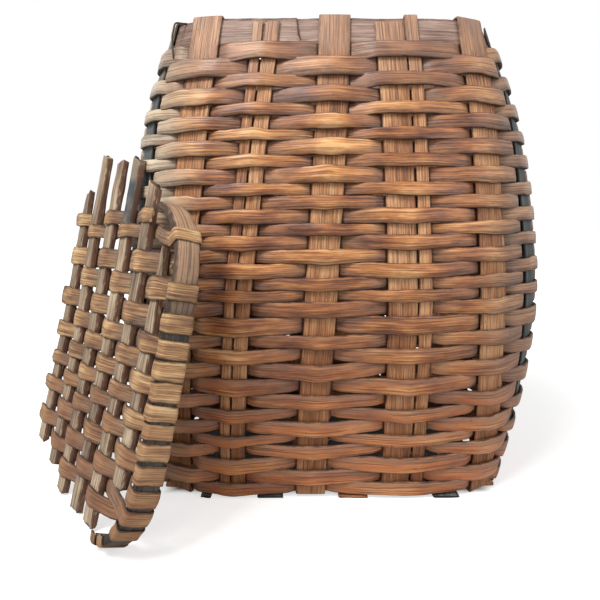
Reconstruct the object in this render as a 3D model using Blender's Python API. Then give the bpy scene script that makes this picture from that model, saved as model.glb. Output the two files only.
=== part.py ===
"""Lidded splint basket, standing with its lid taken off and leaned against its front left corner.

Metres, +Z up. The origin is the middle of the base's underside, and the front of the basket faces -Y.
The uprights are splints that run down one side, under the base and up the other. Long weaving splints
climb round them in one spiral, each going over one upright and behind the next.
"""

import math

import bmesh
import bpy
from mathutils import Matrix, Vector
from mathutils.bvhtree import BVHTree

MM = 0.001

# Clearance that touching splints keep, and the wider one at the bowed face of an upright
CLEAR = 0.35 * MM
WEAVE_CLEAR = 0.75 * MM

# Widths of the uprights, and the gap between the two splints of a pair
WIDE = 28 * MM
SPLIT_NARROW = 9 * MM
SPLIT_BROAD = 13 * MM
PAIR_BROAD = 26 * MM
PAIR_NARROW = 11.5 * MM
PAIR_GAP = 1.5 * MM
SPLIT_WIDTH = SPLIT_NARROW + PAIR_GAP + SPLIT_BROAD
PAIR_WIDTH = PAIR_BROAD + PAIR_GAP + PAIR_NARROW

# Splints of the basket
UPRIGHT_THICK = 2.0 * MM
WEAVER_THICK = 2.6 * MM
ROW_GAP = 0.5 * MM
EDGE_MARGIN = 1.5 * MM
FILLER_WIDTH = 25 * MM
NARROW_FILLER_WIDTH = 10 * MM
FILLER_END = 3 * MM

# Heights of the woven rows at the middle of the front, from the base up
ROW_HEIGHTS = [
    height * MM
    for height in (
        11.5, 14, 16, 13, 10, 14.5, 12, 13.5, 15, 14.5, 13.5,
        12.5, 16, 13.5, 10, 10.5, 12.5, 12, 12, 10, 12.5, 11.5,
        10.5, 14, 10.5, 13, 9, 12.5, 10.5, 14, 11, 15.5, 13.5,
    )
]
WEAVER_COUNT = 11

# A splint that lies flat on the floor close to the base's middle stays flat until just past it
MIDDLE_REACH = 10 * MM
PAST_MIDDLE = 4 * MM

# Rim hoop
RIM_HEIGHT = 22 * MM
RIM_THICK = 3.0 * MM
RIM_DROP = 2.5 * MM
RIM_LAP_BEFORE = 8 * MM
RIM_LAP_AFTER = 18 * MM
FOLD_LENGTH = 45 * MM
FOLD_SLACK = 1.0 * MM
CUT_BELOW_RIM = 4 * MM

# The base is two layers of splint, and the first row sits just over it
BASE_THICK = 2 * UPRIGHT_THICK + CLEAR
FIRST_ROW_Z = BASE_THICK + CLEAR
LAST_ROW_Z = FIRST_ROW_Z + sum(ROW_HEIGHTS)
WALL_HEIGHT = LAST_ROW_Z + RIM_DROP + RIM_HEIGHT
RIM_Z = WALL_HEIGHT - RIM_HEIGHT / 2

# Shape of the wall, on the middle of the uprights
LOWER_SHARE = 0.23
BELLY_SHARE = 0.47
SHOULDER_SHARE = 0.77
BASE_HALF_WIDTH = 172 * MM
LOWER_HALF_WIDTH = 197 * MM
BELLY_HALF_WIDTH = 207.5 * MM
SHOULDER_HALF_WIDTH = 186 * MM
RIM_HALF_WIDTH = 150 * MM
BASE_HALF_DEPTH = 131 * MM
LOWER_HALF_DEPTH = 152 * MM
BELLY_HALF_DEPTH = 162 * MM
SHOULDER_HALF_DEPTH = 143 * MM
RIM_HALF_DEPTH = 117 * MM
BELLY_SHIFT = 5 * MM
END_SQUARENESS = 5.0
BELLY_SQUARENESS = 3.0
STATION_COUNT = 14

# Lid
LID_HALF_WIDTH = 145 * MM
LID_TOP = 97 * MM
LID_FOOT = 177 * MM
LID_CORNER_WIDTH = 60 * MM
LID_TOP_CORNER = 58 * MM
LID_FOOT_CORNER = 74 * MM
LID_BOW = 4 * MM
LID_END_BEND = 4 * MM
LID_BEND_START = 60 * MM
LID_HOOP_DEPTH = 20 * MM
LID_HOOP_THICK = 7 * MM
LID_RIB_WIDTH = 19 * MM
LID_RIB_THICK = 6.5 * MM
LID_RIB_STEPS = 9
LID_FIRST_RIB = -136 * MM
LID_RIB_REACHES = (
    (-155 * MM, 122 * MM),
    (-165 * MM, 159 * MM),
    (-180 * MM, 148 * MM),
    (-182 * MM, 147 * MM),
    (-181 * MM, 119 * MM),
    (-133.8 * MM, 64 * MM),
)
LID_RIB_SKEWS = (-0.03, 0.03, 0.0, 0.01, -0.03, -0.03)
LID_RIB_PITCH = (LID_HALF_WIDTH - LID_FIRST_RIB) / len(LID_RIB_REACHES)
LID_ROW_PITCHES = [
    pitch * MM for pitch in (15, 16, 18, 17, 15, 14, 16, 16, 16, 20, 24, 21, 27, 13)
]
LID_FIRST_ROW = -157 * MM
LID_BROKEN_ROW = 12
LID_ROW_GAP = 0.8 * MM
LID_WEAVER_WIDTH = 18 * MM
LID_WRAP_WIDTH = 15 * MM
LID_BINDING_WIDTH = 10.5 * MM
LID_WEAVER_THICK = 1.2 * MM
LID_FRAY = 5 * MM
LID_FRAY_STEP = 4 * MM
LID_TUCK = 6 * MM
LID_WRAP_SLACK = 0.7 * MM
LID_LOOSE_END = 7 * MM

# How the lid leans on the basket
LID_TURN = math.radians(55.9)
LID_LEAN = math.radians(13.0)
LID_ROLL = math.radians(-2.0)
LID_ALONG = -10 * MM
LEAN_CLEAR = 1.0 * MM
TOUCH_STEP = 4 * MM

# Loop of thin root that once tied the lid on
TIE_RADIUS = 0.8 * MM


def section(point, across, normal, width, inner, outer):
    """Four corners of a splint's cross-section: across is its width, normal its thickness."""
    half = across.normalized() * (width / 2)
    out = normal.normalized()
    return (
        point - half + out * inner,
        point + half + out * inner,
        point + half + out * outer,
        point - half + out * outer,
    )


def plain(point, across, normal, width, thick):
    return section(point, across, normal, width, -thick / 2, thick / 2)


def mitred(point, across, first, second, width, thick):
    """The cross-section where a splint bends sharply, from one face direction to the next."""
    between = first.normalized() + second.normalized()
    grow = thick / between.length
    return section(point, across, between, width, -grow, grow)


def splint(name, sections, material, parent=None):
    """A closed strip lofted through cross-sections that differ in width, thickness and direction."""
    shape = bmesh.new()
    rings = [[shape.verts.new(corner) for corner in ring] for ring in sections]
    shape.faces.new(rings[0])
    shape.faces.new(reversed(rings[-1]))
    for one, two in zip(rings, rings[1:]):
        for corner in range(4):
            after = (corner + 1) % 4
            shape.faces.new((one[corner], two[corner], two[after], one[after]))
    bmesh.ops.recalc_face_normals(shape, faces=shape.faces)
    bmesh.ops.triangulate(shape, faces=shape.faces)
    mesh = bpy.data.meshes.new(name)
    shape.to_mesh(mesh)
    shape.free()
    return add_object(name, mesh, material, parent)


def add_object(name, data, material, parent=None):
    data.materials.append(material)
    made = bpy.data.objects.new(name, data)
    collection.objects.link(made)
    made.parent = parent
    return made


def wood(name, colour, roughness):
    made = bpy.data.materials.new(name)
    made.use_nodes = True
    shader = made.node_tree.nodes["Principled BSDF"]
    shader.inputs["Base Color"].default_value = (*colour, 1.0)
    shader.inputs["Roughness"].default_value = roughness
    shader.inputs["Metallic"].default_value = 0.0
    made.diffuse_color = (*colour, 1.0)
    return made


def smooth_through(values, share):
    """A smooth curve through the wall's five values, from the base to the rim."""
    levels = (0.0, LOWER_SHARE, BELLY_SHARE, SHOULDER_SHARE, 1.0)
    slopes = []
    for i in range(5):
        low = max(i - 1, 0)
        high = min(i + 1, 4)
        slopes.append((values[high] - values[low]) / (levels[high] - levels[low]))
    share = min(max(share, 0.0), 1.0)
    i = max(k for k in range(4) if levels[k] <= share)
    span = levels[i + 1] - levels[i]
    t = (share - levels[i]) / span
    return (
        values[i] * (2 * t**3 - 3 * t**2 + 1)
        + values[i + 1] * (3 * t**2 - 2 * t**3)
        + slopes[i] * span * (t**3 - 2 * t**2 + t)
        + slopes[i + 1] * span * (t**3 - t**2)
    )


def wall_shape(height):
    """Half width, half depth, squareness and sideways shift of the wall at one height."""
    share = height / WALL_HEIGHT
    widths = (
        BASE_HALF_WIDTH, LOWER_HALF_WIDTH, BELLY_HALF_WIDTH, SHOULDER_HALF_WIDTH, RIM_HALF_WIDTH
    )
    depths = (
        BASE_HALF_DEPTH, LOWER_HALF_DEPTH, BELLY_HALF_DEPTH, SHOULDER_HALF_DEPTH, RIM_HALF_DEPTH
    )
    squareness = BELLY_SQUARENESS + (END_SQUARENESS - BELLY_SQUARENESS) * (2 * share - 1) ** 2
    shift = BELLY_SHIFT * math.sin(math.pi * share)
    return smooth_through(widths, share), smooth_through(depths, share), squareness, shift


def between_levels(base, belly, rim, share):
    """A place along one side that is base at the foot, belly at the belly and rim at the top."""
    at_base = (share - BELLY_SHARE) * (share - 1) / BELLY_SHARE
    at_belly = share * (share - 1) / (BELLY_SHARE * (BELLY_SHARE - 1))
    at_rim = share * (share - BELLY_SHARE) / (1 - BELLY_SHARE)
    return base * at_base + belly * at_belly + rim * at_rim


class Stand:
    """One place round the wall where the weavers pass an upright, or a pair of uprights."""

    def __init__(self, side, places, width):
        self.side = side
        self.places = places
        self.width = width
        self.heights = [WALL_HEIGHT * i / STATION_COUNT for i in range(STATION_COUNT + 1)]
        stations = [self.on_wall(height) for height in self.heights]
        self.centres = [centre for centre, _ in stations]
        self.rounds = [round_wall for _, round_wall in stations]

    def on_wall(self, height):
        """The point on the wall, and the level direction round the wall, at one height."""
        half_width, half_depth, power, shift = wall_shape(height)
        place = between_levels(*self.places, height / WALL_HEIGHT)
        rest = (1 - abs(place) ** power) ** (1 / power)
        if self.side in ("front", "back"):
            x = place
            y = rest if self.side == "back" else -rest
        else:
            x = rest if self.side == "right" else -rest
            y = place
        outward = Vector(
            (
                math.copysign(abs(x) ** (power - 1), x) / half_width,
                math.copysign(abs(y) ** (power - 1), y) / half_depth,
                0,
            )
        ).normalized()
        centre = Vector((x * half_width + shift, y * half_depth, height))
        return centre, Vector((-outward.y, outward.x, 0))

    def frame(self, height):
        """Centre, direction round the wall, outward and upward directions, on the flat facets."""
        i = min(int(height / WALL_HEIGHT * STATION_COUNT), STATION_COUNT - 1)
        low = self.heights[i]
        t = (height - low) / (self.heights[i + 1] - low)
        centre = self.centres[i].lerp(self.centres[i + 1], t)
        round_wall = self.rounds[i].lerp(self.rounds[i + 1], t).normalized()
        up = (self.centres[i + 1] - self.centres[i]).normalized()
        return centre, round_wall, round_wall.cross(up).normalized(), up


# Places are shares of the half width or half depth at the base, the belly and the rim
FRONT = [
    Stand("front", (-0.85, -0.68, -0.74), WIDE),
    Stand("front", (-0.54, -0.417, -0.38), SPLIT_WIDTH),
    Stand("front", (-0.105, -0.067, 0.02), WIDE),
    Stand("front", (0.40, 0.306, 0.38), PAIR_WIDTH),
    Stand("front", (0.87, 0.68, 0.835), WIDE),
]
RIGHT = [Stand("right", (0.62 * k, 0.65 * k, 0.675 * k), WIDE) for k in (-1, 0, 1)]
BACK = [
    Stand("back", (0.87, 0.68, 0.835), WIDE),
    Stand("back", (0.40, 0.39, 0.47), PAIR_WIDTH),
    Stand("back", (0.15, 0.10, 0.12), WIDE),
    Stand("back", (-0.16, -0.17, -0.20), WIDE),
    Stand("back", (-0.54, -0.44, -0.50), SPLIT_WIDTH),
    Stand("back", (-0.85, -0.68, -0.80), WIDE),
]
LEFT = [Stand("left", (0.62 * k, 0.65 * k, 0.675 * k), WIDE) for k in (1, 0, -1)]
STANDS = FRONT + RIGHT + BACK + LEFT

# Heights of the two layers of the base
LOW_LAYER = UPRIGHT_THICK / 2
HIGH_LAYER = BASE_THICK - UPRIGHT_THICK / 2


def foot_point(stand):
    return stand.frame(0.0)[0]


class BaseRun:
    """A strip or a pair across the base, as a line between its two ends."""

    def __init__(self, start, end, width):
        self.start = start
        self.end = end
        self.width = width

    def at(self, axis, value):
        """The point where this strip's middle crosses a line of fixed x (0) or y (1)."""
        t = (value - self.start[axis]) / (self.end[axis] - self.start[axis])
        return self.start.lerp(self.end, t)


def filler_run(x_or_y, lengthwise, width):
    """A filler splint that is cut just past the foot of the wall."""
    if lengthwise:
        reach = BASE_HALF_DEPTH + UPRIGHT_THICK / 2 + FILLER_END
        return BaseRun(Vector((x_or_y, -reach, 0)), Vector((x_or_y, reach, 0)), width)
    reach = BASE_HALF_WIDTH + UPRIGHT_THICK / 2
    return BaseRun(Vector((-reach, x_or_y, 0)), Vector((reach, x_or_y, 0)), width)


def middle_of_gap(one, two):
    """The x midway between the facing edges of two neighbouring runs at the front."""
    return (one.start.x + one.width / 2 + two.start.x - two.width / 2) / 2


def base_runs():
    """The nine front-to-back runs and the five side-to-side runs, in order."""
    stands = list(zip(FRONT, [BACK[5], BACK[4], BACK[3], BACK[1], BACK[0]]))
    uprights = [BaseRun(foot_point(f), foot_point(b), f.width) for f, b in stands]
    lengthwise = []
    for k, run in enumerate(uprights):
        lengthwise.append(run)
        if k == 4:
            break
        width = NARROW_FILLER_WIDTH if k == 0 else FILLER_WIDTH
        filler = filler_run(middle_of_gap(run, uprights[k + 1]), True, width)
        if k == 2:
            filler.end = foot_point(BACK[2])
            filler.width = WIDE
        lengthwise.append(filler)
    sides = [BaseRun(foot_point(l), foot_point(r), WIDE) for l, r in zip(reversed(LEFT), RIGHT)]
    crosswise = []
    for k, run in enumerate(sides):
        crosswise.append(run)
        if k < 2:
            y = (run.start.y + sides[k + 1].start.y) / 2
            crosswise.append(filler_run(y, False, FILLER_WIDTH))
    return lengthwise, crosswise


def layer_of(place, other, along):
    """The height of a base strip where it crosses another: they weave over one and under one."""
    over = (place + other) % 2 == (0 if along == 1 else 1)
    return HIGH_LAYER if over else LOW_LAYER


def base_sections(run, place, offset, width, others, along):
    """Cross-sections of one strip as it goes over and under the strips that it crosses."""
    found = []
    for k, other in enumerate(others):
        near = run.at(along, other.start[along])
        crossing = other.at(1 - along, near[1 - along])
        layer = layer_of(place, k, along)
        for end in (-1, 1):
            value = crossing[along] + end * (other.width / 2 + EDGE_MARGIN)
            if end > 0 and layer == LOW_LAYER and -MIDDLE_REACH < value < 0:
                value = PAST_MIDDLE
            point = run.at(along, value) + across_axis(along) * offset
            point.z = layer
            found.append(plain(point, across_axis(along), Vector((0, 0, -1)), width, UPRIGHT_THICK))
    return found


def across_axis(along):
    """The width direction of a splint that runs along y (1) or along x (0)."""
    return Vector((1, 0, 0)) if along == 1 else Vector((0, 1, 0))


def wall_sections(stand, along, offset, width, layer, top):
    """Cross-sections from the bend at the foot of the wall up to the top of one upright."""
    sign = 1 if stand.rounds[0].dot(across_axis(along)) > 0 else -1
    down = Vector((0, 0, -1))

    def place(height, slide=0.0):
        centre, round_wall, outward, _ = stand.frame(height)
        across = round_wall * sign
        return centre + across * offset + outward * slide, across, outward

    point, across, outward = place(layer)
    found = [mitred(point, across, outward, down, width, UPRIGHT_THICK)]
    for height in stand.heights[1:-1] + [WALL_HEIGHT - CUT_BELOW_RIM]:
        point, across, outward = place(height)
        found.append(plain(point, across, outward, width, UPRIGHT_THICK))
    if top == "cut":
        return found
    over_rim = CLEAR + UPRIGHT_THICK / 2
    inside = -(2 * WEAVE_CLEAR + UPRIGHT_THICK + RIM_THICK)
    point, across, outward = place(WALL_HEIGHT)
    up = stand.frame(WALL_HEIGHT)[3]
    point += up * over_rim
    found[-1] = mitred(point, across, outward, up, width, UPRIGHT_THICK)
    found.append(mitred(point + outward * inside, across, -outward, up, width, UPRIGHT_THICK))
    point, across, outward = place(WALL_HEIGHT - FOLD_LENGTH, inside - FOLD_SLACK)
    found.append(plain(point, across, -outward, width, UPRIGHT_THICK))
    return found


def build_uprights():
    lengthwise, crosswise = base_runs()
    split_a = -(SPLIT_WIDTH - SPLIT_NARROW) / 2
    split_b = (SPLIT_WIDTH - SPLIT_BROAD) / 2
    pair_a = -(PAIR_WIDTH - PAIR_BROAD) / 2
    pair_b = (PAIR_WIDTH - PAIR_NARROW) / 2
    through = (
        ("upright_left_corner", 0, FRONT[0], BACK[5], 0.0, WIDE, "fold", "cut"),
        ("upright_split_left", 2, FRONT[1], BACK[4], split_a, SPLIT_NARROW, "cut", "fold"),
        ("upright_split_right", 2, FRONT[1], BACK[4], split_b, SPLIT_BROAD, "cut", "fold"),
        ("upright_middle", 4, FRONT[2], BACK[3], 0.0, WIDE, "fold", "cut"),
        ("upright_right_broad", 6, FRONT[3], BACK[1], pair_a, PAIR_BROAD, "cut", "cut"),
        ("upright_right_narrow", 6, FRONT[3], BACK[1], pair_b, PAIR_NARROW, "fold", "fold"),
        ("upright_right_corner", 8, FRONT[4], BACK[0], 0.0, WIDE, "fold", "fold"),
    )
    for name, place, front, back, offset, width, front_top, back_top in through:
        run = lengthwise[place]
        down = wall_sections(front, 1, offset, width, layer_of(place, 0, 1), front_top)
        flat = base_sections(run, place, offset, width, crosswise, 1)
        up = wall_sections(back, 1, offset, width, layer_of(place, 4, 1), back_top)
        splint(name, down[::-1] + flat + up, front_wood)
    for k, name in enumerate(("side_upright_front", "side_upright_middle", "side_upright_back")):
        run = crosswise[2 * k]
        tops = ("cut", "fold") if k == 1 else ("fold", "cut")
        down = wall_sections(LEFT[2 - k], 0, 0.0, WIDE, layer_of(2 * k, 0, 0), tops[0])
        flat = base_sections(run, 2 * k, 0.0, WIDE, lengthwise, 0)
        up = wall_sections(RIGHT[k], 0, 0.0, WIDE, layer_of(2 * k, 8, 0), tops[1])
        splint(name, down[::-1] + flat + up, dark_wood)
    run = lengthwise[5]
    flat = filler_end(run, 1, -1, 5) + base_sections(run, 5, 0.0, WIDE, crosswise, 1)
    up = wall_sections(BACK[2], 1, 0.0, WIDE, layer_of(5, 4, 1), "cut")
    splint("odd_back_upright", flat + up, front_wood)


def filler_end(run, along, side, place):
    """The cut end of a filler, level with its first or last crossing."""
    point = (run.start if side < 0 else run.end).copy()
    others = 4 if along == 1 else 8
    point.z = layer_of(place, 0 if side < 0 else others, along)
    return [plain(point, across_axis(along), Vector((0, 0, -1)), run.width, UPRIGHT_THICK)]


def build_fillers():
    lengthwise, crosswise = base_runs()
    named = (
        ("base_filler_left", 1, 1),
        ("base_filler_middle", 3, 1),
        ("base_filler_right", 7, 1),
        ("cross_filler_front", 1, 0),
        ("cross_filler_back", 3, 0),
    )
    for name, place, along in named:
        run = (lengthwise if along == 1 else crosswise)[place]
        others = crosswise if along == 1 else lengthwise
        flat = base_sections(run, place, 0.0, run.width, others, along)
        first = filler_end(run, along, -1, place)
        last = filler_end(run, along, 1, place)
        splint(name, first + flat + last, dark_wood)


def row_edge(turn):
    """Height of the line between two rounds: row n lies between turn n and turn n + 1 at the front."""
    at_front = turn - 2 / len(STANDS)
    if at_front <= 0:
        return FIRST_ROW_Z
    whole = int(at_front)
    if whole >= len(ROW_HEIGHTS):
        return LAST_ROW_Z
    return FIRST_ROW_Z + sum(ROW_HEIGHTS[:whole]) + ROW_HEIGHTS[whole] * (at_front - whole)


def weaver_section(step, end, lap):
    """A weaver's cross-section at the near (-1) or far (1) edge of the upright at one step.

    lap is 1 on the outer and -1 on the inner half of a splice, where the splint is thinned.
    """
    count = len(STANDS)
    low = row_edge(step / count)
    high = row_edge(step / count + 1)
    stand = STANDS[step % count]
    centre, round_wall, outward, up = stand.frame((low + high) / 2)
    away = UPRIGHT_THICK / 2 + WEAVE_CLEAR + WEAVER_THICK / 2
    side = 1 if step % 2 else -1
    point = centre + round_wall * end * (stand.width / 2 + EDGE_MARGIN) + outward * side * away
    inner = CLEAR / 2 if lap == 1 else -WEAVER_THICK / 2
    outer = -CLEAR / 2 if lap == -1 else WEAVER_THICK / 2
    return section(point, up, outward, high - low - ROW_GAP, inner, outer)


def build_weavers():
    count = len(STANDS)
    first = -12
    last = first + 4 * (((len(ROW_HEIGHTS) + 1) * count - 6) // 4)
    steps = (last - first) // WEAVER_COUNT
    for number in range(WEAVER_COUNT):
        start = first + number * steps
        stop = last if number == WEAVER_COUNT - 1 else start + steps
        sections = []
        for step in range(start, stop + 1):
            lap = 0
            if step == start and number > 0:
                lap = -1
            if step == stop and number < WEAVER_COUNT - 1:
                lap = 1
            for end in (-1, 1):
                sections.append(weaver_section(step, end, lap))
        splint(f"weaver_{number + 1:02d}", sections, weaver_wood)


def hoop_section(step, end, lap=0, reach=0.0):
    """The rim hoop's cross-section at one edge of an upright, just inside the uprights."""
    stand = STANDS[step % len(STANDS)]
    centre, round_wall, outward, up = stand.frame(RIM_Z)
    away = UPRIGHT_THICK / 2 + WEAVE_CLEAR + RIM_THICK / 2
    point = centre + round_wall * end * (stand.width / 2 + reach) - outward * away
    inner = CLEAR / 2 if lap == 1 else -RIM_THICK / 2
    outer = -CLEAR / 2 if lap == -1 else RIM_THICK / 2
    return section(point, up, outward, RIM_HEIGHT, inner, outer)


def build_rim_hoop():
    """The hoop laps over itself behind the split upright at the front left."""
    first = 1
    last = first + len(STANDS)
    sections = [
        hoop_section(first, -1, -1, RIM_LAP_BEFORE),
        hoop_section(first, 1, -1, RIM_LAP_AFTER),
    ]
    for step in range(first + 1, last):
        sections.append(hoop_section(step, -1))
        sections.append(hoop_section(step, 1))
    sections.append(hoop_section(last, -1, 1, RIM_LAP_BEFORE))
    sections.append(hoop_section(last, 1, 1, RIM_LAP_AFTER))
    splint("rim_hoop", sections, rim_wood)


def build_tie_loop():
    """A loop of thin root over the rim between the left corner upright and the first side one."""
    one = hoop_section(0, -1)
    two = hoop_section(len(STANDS) - 1, 1)
    middle = sum(one + two, Vector()) / 8
    sides = FRONT[0].frame(RIM_Z), LEFT[2].frame(RIM_Z)
    outward = (sides[0][2] + sides[1][2]).normalized()
    upward = (sides[0][3] + sides[1][3]).normalized()
    face = RIM_THICK / 2 + TIE_RADIUS + WEAVE_CLEAR
    over = RIM_HEIGHT / 2 + TIE_RADIUS + WEAVE_CLEAR
    weave = face + UPRIGHT_THICK + WEAVER_THICK
    route = (
        (-face, -RIM_HEIGHT * 0.25),
        (-face, RIM_HEIGHT * 0.4),
        (-face * 0.7, over * 0.95),
        (0.0, over + CLEAR),
        (face, over * 0.85),
        (weave, RIM_HEIGHT * 0.1),
        (weave, -RIM_HEIGHT * 0.8),
        (weave, -RIM_HEIGHT * 1.1),
    )
    line = bpy.data.curves.new("tie_loop", "CURVE")
    line.dimensions = "3D"
    line.bevel_depth = TIE_RADIUS
    line.bevel_resolution = 1
    line.use_fill_caps = True
    wire = line.splines.new("POLY")
    wire.points.add(len(route) - 1)
    for point, (out, up) in zip(wire.points, route):
        place = middle + outward * out + upward * up
        point.co = (*place, 1.0)
    add_object("tie_loop", line, dark_wood)


def free_share(q):
    """How far along the loose rib ends q is, from 0 where they start to bend."""
    return max(q - LID_BEND_START, 0.0) / (LID_FOOT - LID_BEND_START)


def lid_rise(q):
    """Height of the lid's middle surface: bowed inwards, with its loose rib ends bent inwards too."""
    return -LID_BOW * (1 - (q / LID_FOOT) ** 2) - LID_END_BEND * free_share(q) ** 2


def lid_slope(q):
    bend = 2 * LID_END_BEND * free_share(q) / (LID_FOOT - LID_BEND_START)
    return 2 * LID_BOW * q / LID_FOOT**2 - bend


def lid_face(q):
    """The direction out of the bowed lid's face at q up it."""
    return Vector((0, -lid_slope(q), 1)).normalized()


def lid_direction(flat, q):
    """A direction in the lid's flat plan, laid on the bowed lid at q up it."""
    return Vector((flat.x, flat.y, flat.y * lid_slope(q))).normalized()


def lid_point(p, q, height=0.0):
    """A point of the lid: p across it, q up it and height out of its bowed face."""
    return Vector((p, q, lid_rise(q))) + lid_face(q) * height


def hoop_corner(angle, top):
    """A point on the hoop's long corner, and its outward direction in the lid's plane."""
    length = LID_TOP_CORNER if top else LID_FOOT_CORNER
    middle = LID_TOP - length if top else length - LID_FOOT
    across = LID_CORNER_WIDTH * math.cos(angle)
    point = Vector((LID_HALF_WIDTH - LID_CORNER_WIDTH + across, middle + length * math.sin(angle), 0))
    out = Vector((math.cos(angle) / LID_CORNER_WIDTH, math.sin(angle) / length, 0))
    return point, out.normalized()


def build_lid_hoop():
    """The hoop from its broken end at the top, down the near edge and round the foot."""
    places = [hoop_corner(math.radians(5 * angle), True) for angle in range(18, -1, -1)]
    low = LID_FOOT_CORNER - LID_FOOT
    high = LID_TOP - LID_TOP_CORNER
    for share in (0.25, 0.5, 0.75):
        middle = Vector((LID_HALF_WIDTH, high + (low - high) * share, 0))
        places.append((middle, Vector((1, 0, 0))))
    places += [hoop_corner(math.radians(-5 * angle), False) for angle in range(19)]
    sections = [
        plain(
            lid_point(point.x, point.y),
            lid_face(point.y),
            lid_direction(out, point.y),
            LID_HOOP_DEPTH,
            LID_HOOP_THICK,
        )
        for point, out in places
    ]
    splint("lid_hoop", sections, lid_dark_wood, lid)


def rib_place(number, q):
    """Where a rib's middle runs across the lid at q up it: some ribs are skewed."""
    return LID_FIRST_RIB + LID_RIB_PITCH * number - LID_RIB_SKEWS[number] * q


def build_lid_ribs():
    for number, (low, high) in enumerate(LID_RIB_REACHES):
        sections = []
        for step in range(LID_RIB_STEPS + 1):
            q = low + (high - low) * step / LID_RIB_STEPS
            point = lid_point(rib_place(number, q), q)
            across = lid_direction(Vector((1, LID_RIB_SKEWS[number], 0)), q)
            sections.append(plain(point, across, lid_face(q), LID_RIB_WIDTH, LID_RIB_THICK))
        splint(f"lid_rib_{number + 1}", sections, lid_dark_wood, lid)


def wrap_sections(anchor, out, side, width):
    """Cross-sections of a lid weaver that goes once round the hoop and tucks in behind it."""
    across = lid_direction(Vector((-out.y, out.x, 0)), anchor.y)
    away = lid_direction(out, anchor.y)
    face = lid_face(anchor.y)
    beside = LID_HOOP_THICK / 2 + CLEAR + LID_WEAVER_THICK / 2
    beyond = LID_HOOP_DEPTH / 2 + CLEAR + LID_WEAVER_THICK / 2
    within = -beside - LID_WRAP_SLACK
    route = (
        (within, beyond, (0, 1), (0, 1)),
        (beside, beyond, (0, 1), (1, 0)),
        (beside, -beyond, (1, 0), (0, -1)),
        (within, -beyond, (0, -1), (-1, 0)),
        (within, LID_TUCK - beyond, (-1, 0), (-1, 0)),
    )
    found = []
    for outward, height, first, second in route:
        point = lid_point(anchor.x, anchor.y, height * side) + away * outward
        one = (away * first[0] + face * first[1] * side) * side
        two = (away * second[0] + face * second[1] * side) * side
        if first == second:
            found.append(plain(point, across, one, width, LID_WEAVER_THICK))
        else:
            found.append(mitred(point, across, one, two, width, LID_WEAVER_THICK))
    return found


def hoop_anchor(height):
    """Where a row meets the hoop: a row near a corner meets it on the corner."""
    foot = LID_FOOT - LID_FOOT_CORNER
    if height < -foot:
        return hoop_corner(-math.asin((-height - foot) / LID_FOOT_CORNER), False)
    top = LID_TOP - LID_TOP_CORNER
    if height > top:
        return hoop_corner(math.asin((height - top) / LID_TOP_CORNER) * 0.8, True)
    return Vector((LID_HALF_WIDTH, height, 0)), Vector((1, 0, 0))


def lid_row(row):
    """Height of one row up the lid, and the width that its neighbours leave it."""
    height = LID_FIRST_ROW + sum(LID_ROW_PITCHES[:row])
    beside = LID_ROW_PITCHES[max(row - 1, 0) : row + 1]
    return height, min(LID_WEAVER_WIDTH, min(beside) - LID_ROW_GAP)


def build_lid_weavers():
    away = LID_RIB_THICK / 2 + CLEAR + LID_WEAVER_THICK / 2
    for row in range(len(LID_ROW_PITCHES) + 1):
        height, width = lid_row(row)
        crossed = [
            number
            for number, (low, high) in enumerate(LID_RIB_REACHES)
            if low < height - width / 2 and height + width / 2 < high
        ]
        across = lid_direction(Vector((0, 1, 0)), height)
        face = lid_face(height)
        frayed = LID_FRAY + LID_FRAY_STEP * (row * 2 % 3)
        sections = []
        for number in crossed:
            side = -1 if (number + row) % 2 else 1
            edge = LID_RIB_WIDTH / 2 + EDGE_MARGIN + LID_RIB_SKEWS[number] * width / 2
            middle = rib_place(number, height)
            start = middle - edge - (frayed if number == crossed[0] else 0.0)
            for place in (start, middle + edge):
                point = lid_point(place, height, away * side)
                sections.append(plain(point, across, face, width, LID_WEAVER_THICK))
        if height + width / 2 < LID_TOP and row != LID_BROKEN_ROW:
            anchor, out = hoop_anchor(height)
            sections += wrap_sections(anchor, out, -side, min(width, LID_WRAP_WIDTH))
        else:
            point = lid_point(middle + edge + LID_LOOSE_END, height, away * side)
            sections.append(plain(point, across, face, width, LID_WEAVER_THICK))
        splint(f"lid_weaver_{row + 1:02d}", sections, lid_wood, lid)


def build_lid_bindings():
    """Two short splints bound round the hoop at the foot."""
    for number, angle in enumerate((73, 87.5)):
        anchor, out = hoop_corner(math.radians(-angle), False)
        sections = wrap_sections(anchor, out, 1, LID_BINDING_WIDTH)
        splint(f"lid_binding_{number + 1}", sections, lid_wood, lid)


def way_to_wall(matrix, direction):
    """How far the lid can slide one way before it touches the basket."""
    points = []
    faces = []
    for piece in collection.objects:
        if piece.type == "MESH" and piece.parent is None:
            first = len(points)
            points += [vertex.co for vertex in piece.data.vertices]
            faces += [[first + i for i in face.vertices] for face in piece.data.polygons]
    wall = BVHTree.FromPolygons(points, faces)
    nearest = math.inf
    for piece in lid.children:
        ends = [matrix @ vertex.co for vertex in piece.data.vertices]
        for edge in piece.data.edges:
            one, two = (ends[i] for i in edge.vertices)
            steps = math.ceil((two - one).length / TOUCH_STEP)
            for step in range(steps + 1):
                distance = wall.ray_cast(one.lerp(two, step / steps), direction)[3]
                if distance is not None:
                    nearest = min(nearest, distance)
    return nearest


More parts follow.
